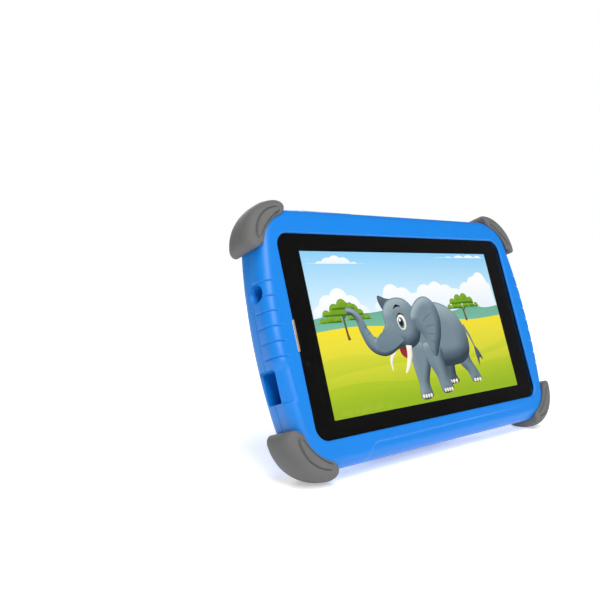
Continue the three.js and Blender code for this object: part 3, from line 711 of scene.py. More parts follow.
EYE_X, EYE_Y, EYE_R, PUPIL_R, GLINT_R = 30.0, 18.5, 5.3, 4.3, 2.1
tusk_loop = resampled(from_behind(np.vstack([
    spline([(-50, 10.5), (-43, 8.4), (-33, 8.2), (-29, 8.2), (-27.4, 6.2)], 8)[:-1],
    spline([(-27.4, 6.2), (-29, 4.2), (-36, 3.6), (-44, 6.2), (-50, 10.5)], 8)[:-1]])), 0.7)
ear_loop = resampled(from_behind(np.vstack([
    spline([(-13, 20), (-19.3, 30), (-14, 40), (-5, 43), (5, 39.5), (16, 32.5)], 10)[:-1],
    spline([(16, 32.5), (20, 25), (14, 17), (2, 14.5), (-7, 15.5), (-13, 20)], 10)[:-1]])), 0.8)

FRUITS = [(-58.9, 54.2, 5.0, 135), (-68.8, 47.2, 4.6, 140), (-53.5, 41.5, 6.3, 130),
          (-89.2, -21.2, 6.6, 50), (-75.8, -12.6, 5.1, 55), (-75.7, -24.2, 5.9, 40)]


def fruit_lines():
    """Round fruits, each with a small pointed crown, as closed lines seen from behind."""
    loops = []
    for x, y, r, crown in FRUITS:
        ring = arc(x, y, r, crown + 14, crown + 346, 36)
        out = np.array([math.cos(math.radians(crown)), math.sin(math.radians(crown))])
        side = np.array([-out[1], out[0]])
        base = np.array([x, y])
        points = [base + out * (r * a) + side * (r * b)
                  for a, b in ((0.98, -0.25), (1.42, -0.42), (1.24, -0.12), (1.5, 0.02),
                               (1.24, 0.14), (1.4, 0.44), (0.98, 0.25))]
        loops.append(resampled(from_behind(np.vstack([ring, points])), 0.9))
    return loops


ACCENT_LINES = [from_behind([(x0, y), (x1, y)])
                for x0, x1, y in ((35.4, 60, 47.2), (23.1, 71.2, 43.8), (31.5, 64.2, 40.6))]
fruit_loops = fruit_lines()
ENGRAVED = [(loop, True) for loop in fruit_loops]
ENGRAVED += [(loop, False) for loop in ACCENT_LINES]
SPEAKER = (78.3, -38.2)


def speaker_slots():
    """Three dotted columns, two split columns and two more dotted ones."""
    loops = []
    cx, cy = SPEAKER

    def slot(column, y, length):
        loops.append(rounded_rect(0.52, length / 2, 0.5, 4, cx - column * 2.45, cy + y))

    for column in range(-3, 4):
        if abs(column) == 1:
            slot(column, 3.5, 5.2)
            slot(column, -3.5, 5.2)
        else:
            slot(column, 0, 5.2)
            slot(column, 5.3, 1.05)
            slot(column, -5.3, 1.05)
    return loops


def stand_side():
    """Half of the stand's outline about its hinge, from the neck to the tip of one foot."""
    neck = np.array([(7.0, -1.0), (7.0, -8.4)])
    thigh = spline([(7.6, -10.4), (10.5, -12.2), (22, -17.8), (31, -23.8), (36, -31), (37.5, -39),
                    (33.4, -63.6)], 9)
    toe = arc(29.4, -64.2, 4, 0, -90, 6)
    return np.vstack([neck, thigh, toe])


def stand_loop(with_arch):
    right = stand_side()
    if with_arch:
        heel = arc(20.5, -65.2, 3, 270, 200, 5)
        arch = spline([(17.4, -64.4), (14.8, -61.2), (11.8, -57.0), (7.4, -53.6), (0, -52)], 6)[:-1]
        right = np.vstack([right, heel, arch, [(0, -52)]])
    left = (right * (-1, 1))[::-1]
    return np.vstack([right, left[1:] if with_arch else left])[::-1]


recess_outer = resampled(grown(resampled(stand_loop(False), 1.5), 0.9) + (0, hinge_local.y), 1.2)
ear_slots = [rounded_rect(8.1, 3.3, 0.5, 3, sign * 17.6, hinge_local.y) for sign in (-1, 1)]
knuckle_slot = rounded_rect(9.5, 5.9, 0.6, 3, 0, hinge_local.y + 0.3)
camera_panel = rounded_rect(11.5, 16, 4, 6, -85.5, 12)
speaker_loops = speaker_slots()
inlay_wells = [(arc(EYE_X, EYE_Y, EYE_R + 0.2, 0, 360, 40)[:-1], 0.8),
               (grown(tusk_loop, 0.2), 0.8), (grown(ear_loop, 0.2), 0.8)]


def relief_height(xy):
    """How far the elephant stands above the back, fading out past its ear."""
    deep = depth_in(elephant_loop, xy)
    fade = 1 - smooth(70, 101, -xy[:, 0])
    return RELIEF * smooth(-1.4, 1.3, deep) * fade


ENGRAVING, PANEL_DEPTH = 0.5, 0.8
RECESS_FLOOR, EAR_FLOOR, SPEAKER_FLOOR = -17.5, -14.8, -16.6


def back_height(xy):
    """z of the back's surface."""
    z = BACK_Z - relief_height(xy)
    away = distance_to(ENGRAVED, xy)
    z += ENGRAVING * (1 - smooth(0.1, 0.5, away))
    for well, depth in inlay_wells:
        z = np.where(inside(well, xy), np.maximum(z, BACK_Z - RELIEF + depth), z)
    panel = depth_in(camera_panel, xy)
    z = z + PANEL_DEPTH * smooth(0.0, 0.5, panel)
    into = depth_in(recess_outer, xy)
    z = np.where(into > -0.5, z + (RECESS_FLOOR - z) * smooth(-0.1, 0.55, into), z)
    for loop in ear_slots + [knuckle_slot]:
        z = np.where(inside(grown(loop, 0.01), xy), EAR_FLOOR, z)
    for loop in speaker_loops:
        z = np.where(inside(loop, xy), SPEAKER_FLOOR, z)
    return z


def within(margin, lines):
    """The lines, or the parts of them, that lie inside a loop."""
    kept = []
    for line, closed in lines:
        good = depth_in(margin, line) > 0
        if good.all():
            kept.append((line, closed))
            continue
        ends = np.nonzero(np.diff(good))[0] + 1
        kept += [(run, False) for run, flags in zip(np.split(line, ends), np.split(good, ends))
                 if flags[0] and len(run) > 1]
    return kept


def bands(loop, offsets):
    return [(grown(loop, offset), True) for offset in offsets]


def rear_shell():
    seam = [(0.25, PARTING - 0.2, 0), (0.04, PARTING - 0.38, 0), (0, PARTING - 0.65, 0)]
    wall = [(0, z, 0) for z in (-10.6, -11.6)]
    rings = []
    for inset, z, slope in seam + wall + rim_profile(BACK_EDGE, BACK_Z, -1, np.linspace(0, 90, 13)):
        share = math.sin(math.radians(-slope)) ** 1.5
        rings.append(section_ring(inset, z, slope, lambda xy, height: relief_height(xy) * share))
    edge = case_loop - case_normal * BACK_EDGE
    rings[-1] = np.column_stack([edge, back_height(edge)])
    hole = arc(LENS_X, LENS_Y, LENS_R, 0, 360, 40)[:-1]

    lines = bands(elephant_loop, (-1.4, -0.9, -0.4, 0.1, 0.6, 1.1, 1.5))
    for loop in fruit_loops:
        lines += bands(loop, (-0.5, -0.18, 0.18, 0.5))
    lines += [(round_line(line, reach), True) for line in ACCENT_LINES for reach in (0.18, 0.5)]
    for well, _ in inlay_wells:
        lines += bands(well, (0.05, -0.05))
    lines += bands(recess_outer, (0.1, -0.2, -0.6)) + bands(camera_panel, (0.0, -0.5))
    for loop in ear_slots + [knuckle_slot] + speaker_loops:
        lines += bands(loop, (0.06, -0.06))
    cuts = within(grown(edge, -0.6), lines)
    xy, faces = triangulate(edge, cuts, grid_points(edge, 2.6, 1.0), [hole])
    shell = Shell()
    shell.loft(rings)
    shell.add(np.column_stack([xy, back_height(xy)]), faces)
    hole_end = grown(hole, -0.001)
    shell.loft([np.column_stack([hole, back_height(hole)]), at_height(hole_end, POCKET_Z)])
    floor_xy, floor_faces = triangulate(pocket_loop, [], [], [hole_end])
    shell.add(at_height(floor_xy, POCKET_Z), floor_faces)
    shell.loft([at_height(pocket_loop, POCKET_Z), at_height(pocket_loop, PARTING - 0.2), rings[0]])
    return shell.build("rear_shell_skin", smooth_angle=32)


def recess_mouth(shell):
    """Opens the stand's recess through the rounded bottom edge."""
    outline = np.array([(-35.2, -58.4), (-33.6, -80), (33.6, -80), (35.2, -58.4)])
    shell.solid([at_height(outline, -30), at_height(outline, RECESS_FLOOR - 0.02)])


front = front_frame()
carve(front, side_cutters("front_cutter"))
finished(front, "case", "case_blue", CASE, "front_frame")

rear = rear_shell()
carve(rear, side_cutters("rear_cutter"), smooth_angle=32)
carve(rear, made("mouth_cutter", recess_mouth), smooth_angle=32)
finished(rear, "case", "case_blue", CASE, "rear_shell")

# ---------------- rounded blocks
ON_OUTLINE = 0.005


def rounding(deep, edge):
    """How far a rounded rim falls below its face, this deep inside the outline. Points on the
    outline are a little off it in 32 bits, and are put back, so that they weld to the wall."""
    across = edge - np.clip(np.where(deep < ON_OUTLINE, 0, deep), 0, edge)
    return edge - np.sqrt(np.maximum(edge**2 - across**2, 0))


def block(shell, outline, low, high, edges, raised=(None, None), lines=(), spacing=2.5):
    """A slab with rounded rims whose two faces may carry raised or engraved detail.
    edges and raised are pairs, for the low and the high face."""
    rim_heights = []
    for face_z, edge, extra, way in ((low, edges[0], raised[0], -1), (high, edges[1], raised[1], 1)):
        rims = [(grown(outline, -edge * (1 - math.cos(math.radians(a)))), True)
                for a in (18, 36, 54, 72, 90)]
        xy, faces = triangulate(outline, rims + (list(lines) if extra else []),
                                grid_points(outline, spacing, 0.6))
        z = face_z - way * rounding(depth_in(outline, xy), edge)
        if extra:
            z = z + way * extra(xy)
        rim_heights.append(face_z - way * edge)
        shell.add(np.column_stack([xy, z]), faces)
    shell.loft([at_height(outline, z) for z in rim_heights])


def case_form(name, grow):
    """The plain closed form of the whole case, grown by a clearance."""
    turns = np.linspace(0, 90, 9)
    profile = rim_profile(BACK_EDGE, BACK_Z, -1, turns[::-1])
    profile += rim_profile(FACE_EDGE, FACE_Z, 1, turns)
    coarse, normal = case_loop[::3], case_normal[::3]
    rings = []
    for inset, z, _ in profile:
        up = -grow if z < -15 else grow if z > -2 else 0
        rings.append(at_height(coarse - normal * (inset - grow), z + up))
    return made(name, Shell.solid, rings)


# ---------------- corner bumpers
BUMPER_FRONT, BUMPER_BACK = 2.8, -21.2
CUSHION = (85.1, 45.5, 24.5)  # centre and radius of the round form whose rims are the outer edges
FRONT_RIM, BACK_RIM = (6.0, 1.6), (10.0, 4.0)  # rounding of the outer rim, and of all rims
RIM_STEPS = 9
PAD_X, PAD_Y, PAD_FROM, PAD_TO = 82.6, 43.4, 17, 74
PAD_RAISE, GROOVE_DEPTH, GROOVE_WIDTH = 0.45, 0.75, 0.3
PAD_ARC = arc(PAD_X, PAD_Y, 20.5, PAD_FROM, PAD_TO, 22)


def crescent():
    """The upper right bumper's outline. Its outer arc is cut finely, because the rounded rim is so
    steep there that a point a little inside the arc would stand too high."""
    outside = arc(*CUSHION, 5, 85, 400)
    top_end = arc(87.6, 65.4, 4.6, 100, 240, 12)
    inner = arc(79, 40.5, 21.5, 73, 14, 24)
    side_end = arc(104.9, 48.1, 4.6, 210, 350, 12)
    return resampled(np.vstack([outside, top_end, inner, side_end]), 0.6)


def pad_half(share):
    """Half the width of the raised band, from one of its ends (0) to the other (1)."""
    return 1.15 + 0.9 * np.sin(np.clip(share, 0, 1) * math.pi)


def pad_height(sign):
    """A raised band along the middle of the bumper, with a fine groove round it."""
    line = PAD_ARC * sign

    def height(xy):
        away = distance_to([(line, False)], xy)
        turn = np.degrees(np.arctan2(xy[:, 1] * sign[1] - PAD_Y, xy[:, 0] * sign[0] - PAD_X))
        half = pad_half((turn - PAD_FROM) / (PAD_TO - PAD_FROM))
        groove = np.exp(-(((away - half - 0.25) / GROOVE_WIDTH) ** 2))
        return PAD_RAISE * (1 - smooth(-0.3, 0.25, away - half)) - GROOVE_DEPTH * groove

    return height


def bumper_face(sign, outline, face_z, way, rim, shell):
    """One face of a bumper, from its raised band out to where its outer rim turns down."""
    line = PAD_ARC * sign
    along = np.gradient(line, axis=0)
    normal = np.stack([along[:, 1], -along[:, 0]], 1)
    normal /= np.linalg.norm(normal, axis=1)[:, None]
    half = pad_half(np.linspace(0, 1, len(line)))
    cuts = [(line + normal * side * (half + reach)[:, None], False)
            for reach in (-0.3, 0.0, 0.25, 0.5) for side in (-1, 1)]
    for turn in np.radians(np.linspace(0, 90, RIM_STEPS + 1))[1:]:
        cuts.append((grown(outline, -rim[1] * (1 - math.cos(turn))), True))
    xy, faces = triangulate(outline, cuts, grid_points(outline, 1.0, rim[1] + 0.1))
    cx, cy, r = CUSHION

    def fall(points):
        to_rim = r - np.hypot(points[:, 0] * sign[0] - cx, points[:, 1] * sign[1] - cy)
        return rounding(to_rim, rim[0]) - pad_height(sign)(points)

    z = face_z - way * (fall(xy) + rounding(depth_in(outline, xy), rim[1]))
    shell.add(np.column_stack([xy, z]), faces)
    return np.column_stack([outline, face_z - way * (fall(outline) + rim[1])])


def bumper(name, sx, sy):
    sign = np.array([sx, sy])
    outline = crescent() * sign
    shell = Shell()
    low = bumper_face(sign, outline, BUMPER_BACK, -1, BACK_RIM, shell)
    high = bumper_face(sign, outline, BUMPER_FRONT, 1, FRONT_RIM, shell)
    shell.loft([low, high])
    obj = shell.build(name + "_skin", smooth_angle=50)
    carve(obj, case_form("form_cutter", 0.15), smooth_angle=50)
    if sy < 0:
        cut_at_floor(obj)
    return finished(obj, "case", "bumper_grey", RUBBER, name)


for high, sy in (("top", 1), ("bottom", -1)):
    for wide, sx in (("left", -1), ("right", 1)):
        bumper(f"bumper_{high}_{wide}", sx, sy)

# ---------------- stand and bracket
BARREL_R, BARREL_END, KNUCKLE = 3.0, 25.4, 8.5
BORE_R, SEAT_R, CAP_R, SCREW_X = 1.35, 2.3, 2.0, 28.5
FOOT_GROOVE = 0.35
PLATE = (0.2, 3.5)
FOOT_LINES = [np.array([(x, y0), (x, y1)])
              for side in (-1, 1)
              for x, y0, y1 in ((side * 22.4, -40, -52), (side * 25.6, -36, -56),
                                (side * 28.8, -40, -52))]


def foot_grooves(xy):
    return -FOOT_GROOVE * (1 - smooth(0.15, 0.55, distance_to([(l, False) for l in FOOT_LINES], xy)))


def rod(shell, x0, x1, y, z, r, edge=0.5):
    """A rod along x with rounded ends."""
    bend = [(r - edge * (1 - math.sin(a)), edge * (1 - math.cos(a)))
            for a in np.radians((0, 22, 45, 68, 90))]
    profile = [(0, x0)] + [(q, x0 + h) for q, h in bend]
    profile += [(q, x1 - h) for q, h in bend[::-1]] + [(0, x1)]
    turned(shell, profile, y, z, 56, "x")


def joined(base, *others):
    for other in others:
        carve(base, other, "UNION")
    return base


def stand():
    outline = resampled(stand_loop(True), 0.9)
    lines = [(round_line(line, reach), True) for line in FOOT_LINES for reach in (0.15, 0.55)]

    def in_stand(name, draw, *sizes):
        return made(name, draw, *sizes, place=STAND_FRAME)

    plate = in_stand("stand_skin", block, outline, *PLATE, (1.1, 0.5), (foot_grooves, None), lines, 3.0)
    knuckle = in_stand("knuckle", rod, -KNUCKLE, KNUCKLE, 0, 0, BARREL_R)
    neck = in_stand("neck", bar, (-6.9, 6.9), (-9.4, -0.4), (0.35, 3.35), 0.4)
    lug = in_stand("lug", bar, (-5, 5), (0, 5.6), (-0.8, 0.8), 0.4)
    bore = in_stand("bore", rod, -20, 20, 0, 0, BORE_R, 0.1)
    joined(plate, knuckle, neck, lug)
    carve(plate, bore)
    cut_at_floor(plate)
    finished(plate, "stand", "stand_blue", STAND, "stand")


def bracket():
    y, z = hinge_local.y, hinge_local.z
    base = made("stand_bracket_skin", bar, (-31, 31), (-6, 13), (-14.7, -12.9), 0.5)
    for sign in (-1, 1):
        x0, x1 = sorted((sign * 9.7, sign * BARREL_END))
        ear = made("ear", rod, x0, x1, y, z, BARREL_R, 0.7)
        web = made("web", bar, (x0 + 0.2, x1 - 0.2), (y - 2.9, y + 2.9), (z, -14.0), 0.4)
        joined(base, ear, web)
    carve(base, made("bore", rod, -40, 40, y, z, BORE_R, 0.1))
    for sign in (-1, 1):
        x0, x1 = sorted((sign * (BARREL_END - 1.5), sign * (BARREL_END + 3)))
        carve(base, made("seat", rod, x0, x1, y, z, SEAT_R, 0.1))
        hole = [(0, -16), (1, -16), (1, -10), (0, -10)]
        carve(base, made("hole", turned, hole, sign * SCREW_X, y))
    finished(base, "case", "case_blue", CASE, "stand_bracket")
    for side, sign in (("left", -1), ("right", 1)):
        x0, x1 = sorted((sign * (BARREL_END - 1.2), sign * (BARREL_END + 0.2)))
        cap = made(f"pin_cap_{side}_skin", rod, x0, x1, y, z, CAP_R, 0.45)
        finished(cap, "case", "case_blue", CASE, f"pin_cap_{side}")


stand()
bracket()

# ---------------- inlays
INLAY = (-21.5, -20.5)
for name, outline, rim in (("tusk", tusk_loop, 0.25), ("ear_patch", ear_loop, 0.3)):
    inlay = made(name + "_skin", block, outline, *INLAY, (rim, 0.1), spacing=3.0)
    finished(inlay, "case", "insert_white", WHITE, name)

# ---------------- earpiece grille
def grille(shell):
    """A woven strip in the notch beside the screen."""
    bar(shell, (-91.75, -90.25), (-8.0, 7.7), (0.04, 0.55), 0.25)
    for y in np.arange(-7.2, 7.2, 0.9):
        bar(shell, (-91.55, -90.45), (y - 0.18, y + 0.18), (0.5, 0.72), 0.1)


finished(made("earpiece_grille", grille), "case", "steel", MESH)

# ---------------- carried-over parts
BEVELLED = [
    (CASE, 0.7, "button_strip"),
    (CASE, 0.6, "power_button volume_rocker"),
    (BLACK, 0.15, "power_key volume_key rear_camera"),
    (WHITE, 0.2, "eye_white"),
    (EYE_BLACK, 0.12, "eye_pupil"),
    (WHITE, 0.12, "eye_glint"),
    (WHITE, 0.08, "hinge_washer_left hinge_washer_right"),
    (STEEL, 0.2, "stand_pin shield_can"),
    (GLASS, 0.15, "cover_glass"),
    (MASK, 0.0, "screen_mask"),
    (BLACK, 0.1, "lcd_panel"),
    (STEEL, 0.0, "mid_plate"),
    (BLACK, 0.0, "tablet_back_cover"),
    (BOARD, 0.0, "main_board key_board"),
    (STEEL, 0.15, "card_socket power_switch volume_up_switch volume_down_switch"),
    (STEEL, 0.1, "usb_socket earpiece microphone"),
    (BLACK, 0.12, "audio_jack"),
    (LENS, 0.1, "front_camera"),
    (LENS, 0.12, "rear_camera_lens"),
    (BLACK, 0.3, "speaker"),
    (FOIL, 0.5, "battery"),
    (RED, 0.0, "battery_lead_red"),
    (LEAD_BLACK, 0.0, "battery_lead_black"),
    (FLEX, 0.0, "display_ribbon wifi_antenna"),
    (STEEL, 0.05, "bracket_screw_left bracket_screw_right plate_screw_1"),
    (STEEL, 0.05, "plate_screw_2 plate_screw_3 plate_screw_4"),
]
for material, bevel, name in [(m, b, name) for m, b, names in BEVELLED for name in names.split()]:
    part = bpy.data.objects[name]
    coated(part, material)
    if bevel:
        modifier = part.modifiers.new("soft_edges", "BEVEL")
        modifier.width, modifier.segments, modifier.limit_method = bevel * MM, 3, "ANGLE"
        modifier.angle_limit = math.radians(40)

# ---------------- picture on the display
class Picture:
    """Thin plates laid over one another just above the display, each a shape in the picture."""

    FIRST, STEP, THICK = -1.65, 0.016, 0.010

    def __init__(self):
        self.layer = 0
        self.pending = []

    def shape(self, outline, shade, spacing=2.0, rim_cuts=(), beside=False):
        """Adds one shape, whose shade function gives a value from 0 to 1 at each point.
        One that lies beside the shape before it shares that shape's layer."""
        self.layer += 0 if beside else 1
        rims = [(grown(outline, -reach), True) for reach in rim_cuts]
        xy, faces = triangulate(outline, rims, grid_points(outline, spacing, spacing * 0.4))
        value = np.clip(shade(xy), 0, 1)
        self.pending.append((xy, faces, value, self.FIRST + self.layer * self.STEP))

    def form(self, outline, spacing, *shading, beside=False):
        """Adds one rounded shape, shaded by rounded_form."""
        self.shape(outline, rounded_form(outline, *shading), spacing, RIMS, beside)

    def finish(self, name, stops, texture=0.0, scale=300):
        """Turns the shapes added since the last call into one piece, lit by these colours."""
        name, shell, values = "picture_" + name, Shell(), []
        for xy, faces, value, z in self.pending:
            top = shell.add(at_height(xy, z + self.THICK), faces)
            low = shell.add(at_height(xy, z), faces[:, ::-1])
            shell.faces += [(low + a, low + b, top + b, top + a) for a, b in boundary(faces)]
            values += [value, value]
        self.pending = []
        mesh = bpy.data.meshes.new(name)
        mesh.from_pydata((np.array(shell.vertices) * MM).tolist(), [], shell.faces)
        mesh.attributes.new("shade", "FLOAT", "POINT").data.foreach_set("value", np.concatenate(values))
        bm = bmesh.new()
        bm.from_mesh(mesh)
        bmesh.ops.remove_doubles(bm, verts=bm.verts, dist=1e-6)
        bmesh.ops.recalc_face_normals(bm, faces=bm.faces)
        bm.to_mesh(mesh)
        bm.free()
        light = display_light(name + "_light", stops, texture, scale)
        finished(linked(name, mesh, TABLET), "case", "screen", light)


RIMS = (0.25, 0.6, 1.1, 1.8)


def rising(low, high):
    return lambda xy: (xy[:, 1] - low) / (high - low)


def rounded_form(outline, reach, towards=(-0.5, 0.86), depth=0.55):
    """Shading of a soft solid lit from one side, from distances to its outline."""
    step = 1.2

    def shade(xy):
        deep = np.clip(depth_in(outline, xy), 0, reach)
        toward = np.clip(depth_in(outline, xy + np.array(towards) * step), 0, reach)
        slope = (deep - toward) / step * (1 - deep / reach)
        return 0.5 + depth * slope + 0.14 * deep / reach

    return shade


def puffs(x0, x1, base, circles):
    """A cloud or tree crown: a flat base under a row of round tops."""
    x = np.linspace(x0, x1, 90)
    top = np.full(len(x), base + 0.15)
    for cx, cy, r in circles:
        half = np.sqrt(np.maximum(r * r - (x - cx) ** 2, 0))
        top = np.where(np.abs(x - cx) < r, np.maximum(top, cy + half), top)
    return np.vstack([np.stack([x, top], 1), [(x1, base), (x0, base)]])[::-1]


def under(curve, low):
    """The region below a curve that runs the screen's full width."""
    edge = SCREEN_W - 0.02
    line = spline(curve, 8)
    line[:, 0] = np.clip(line[:, 0], -edge, edge)
    return np.vstack([line, [(edge, low), (-edge, low)]])[::-1]


def limb(centres, widths, steps=10):
    """A tapering tube drawn flat, round at its far end."""
    line = spline(centres, steps)
    at = np.linspace(0, 1, len(line))
    half = np.interp(at, np.linspace(0, 1, len(widths)), widths)
    along = np.gradient(line, axis=0)
    normal = np.stack([-along[:, 1], along[:, 0]], 1)
    normal /= np.linalg.norm(normal, axis=1)[:, None]
    turn = math.degrees(math.atan2(along[-1, 1], along[-1, 0]))
    end = arc(*line[-1], half[-1], turn + 80, turn - 80, 8)
    loop = np.vstack([line + normal * half[:, None], end, (line - normal * half[:, None])[::-1]])
    return loop if signed_area(loop) > 0 else loop[::-1]


def oval(cx, cy, rx, ry, tilt=0.0):
    a = np.linspace(0, 2 * math.pi, 36, endpoint=False)
    x, y = rx * np.cos(a), ry * np.sin(a)
    c, s = math.cos(math.radians(tilt)), math.sin(math.radians(tilt))
    return np.stack([cx + x * c - y * s, cy + x * s + y * c], 1)


def scenery(picture):
    edge_w, edge_h = SCREEN_W - 0.02, SCREEN_H - 0.02
    sky = np.array([(-edge_w, -4), (edge_w, -4), (edge_w, edge_h), (-edge_w, edge_h)])
    picture.shape(sky, rising(4, edge_h), 4.0)
    picture.finish("sky", SKY_STOPS)

    picture.shape(puffs(-74, -33, 36.2, [(-65, 33.4, 4.2), (-59, 33.6, 6.0), (-54, 35.4, 5.4),
                                         (-48, 34.4, 5.4), (-41, 33.2, 4.2)]), rising(35.6, 41.5))
    picture.shape(puffs(27, 76, 40.2, [(40, 33.6, 7.4), (50, 32.6, 9.2), (60, 32.2, 9.8),
                                       (69, 35.6, 6.2)]), rising(38, 42), beside=True)
    picture.shape(puffs(-76, -30, 5, [(-71, 8, 6), (-65, 13, 6.5), (-57, 16.5, 6.5),
                                      (-49, 12.5, 6.5), (-42, 8.5, 5), (-36, 5.5, 4)]),
                  rising(4, 22), beside=True)
    picture.shape(puffs(-33, 76, 5, [(-26, 9, 7), (-17, 17, 7.5), (-8, 15, 7.5), (1, 11, 8),
                                     (11, 16, 8), (21, 18.5, 7), (30, 15.5, 8), (39, 13, 8),
                                     (50, 17, 7.5), (58, 22, 6), (65, 24, 6.8), (72, 20, 4)]),
                  rising(4, 28))
    picture.finish("clouds", CLOUD_STOPS)

    picture.shape(under([(-78, 7.2), (-58, 9.6), (-38, 9), (-18, 10.2), (4, 8), (28, 6.8),
                         (48, 9.6), (64, 8), (78, 9)], -4), rising(0, 11), 3.0)
    picture.shape(under([(-78, 4.6), (-60, 6.4), (-40, 5.6), (-16, 6.6), (10, 4.2), (34, 6.8),
                         (54, 5.4), (78, 6.4)], -4), rising(-6, 12), 3.0)
    picture.finish("hills", HILL_STOPS)


def field(picture):
    edge_h = SCREEN_H - 0.02
    low = -edge_h
    picture.shape(under([(-78, 0.6), (-50, 2.2), (-20, 1.2), (20, 2.4), (50, 1.2), (78, 2.6)], low),
                  rising(low, 3), 4.0)
    sweeps = [
        ([(-78, -6.5), (-60, -4.5), (-44, -5.5), (-20, -9), (10, -12), (40, -11), (78, -3)], 0.04),
        ([(-78, -14), (-55, -12.5), (-25, -16), (10, -20), (45, -19), (78, -12)], -0.05),
        ([(-78, -23), (-50, -20.5), (-15, -19.5), (20, -23), (50, -21), (78, -17.5)], 0.06),
        ([(-78, -28), (-50, -27), (-10, -30), (30, -28), (55, -25), (78, -24)], -0.03),
        ([(-78, -33.5), (-40, -32), (0, -35), (40, -34), (78, -29)], -0.06),
    ]
    for curve, change in sweeps:
        picture.shape(under(curve, low), lambda xy, d=change: rising(low, 3)(xy) + d, 4.0)
    picture.finish("field", FIELD_STOPS)

    for x, y, size in ((-70, -41.5, 3.2), (-66, -42, 4.2), (-61, -41.6, 3.0), (-56, -42, 4.6),
                       (-52, -41.4, 5.2), (-47, -42, 3.6), (-44, -41.2, 4.4), (-38, -42, 2.6),
                       (-4, -42, 3.0), (0, -41.6, 2.4)):
        for lean in (-0.5, 0.0, 0.45):
            blade = np.array([(x + lean * 2 - 0.25, y), (x + lean * 2 + 0.25, y),
                              (x + lean * size, y + size * (1 - abs(lean) * 0.4))])
            picture.shape(blade, rising(y, y + size), 2.0, beside=lean > -0.5)
    picture.finish("grass", GRASS_STOPS)


def tree(picture, name, x, ground, top, crowns):
    trunk = limb([(x + 0.6, ground), (x, ground + 4), (x - 0.6, top - 6), (x - 1.6, top - 2)],
                 (1.0, 0.7, 0.6, 0.4))
    picture.shape(trunk, rising(ground, top))
    for side in (-1, 1):
        branch = limb([(x, top - 7), (x + side * 3, top - 4), (x + side * 7, top - 1.5)],
                      (0.5, 0.35, 0.2))
        picture.shape(branch, rising(ground, top), beside=side > 0)
    picture.finish(name + "_trunk", BARK_STOPS)
    for i, (x0, x1, base, circles) in enumerate(crowns):
        outline = puffs(x0, x1, base, circles)
        picture.form(outline, 1.2, 2.2, (-0.3, 0.95), 0.5, beside=i == 1)
    picture.finish(name + "_crown", LEAF_STOPS, 0.12, 900)


def toes(picture, x, y, count, wide):
    for i in range(count):
        cx = x + (i - (count - 1) / 2) * wide / count
        nail = oval(cx, y + 1.0, wide / count * 0.42, 1.15)
        picture.shape(nail, rising(y - 1, y + 2.5), 1.5, beside=i > 0)


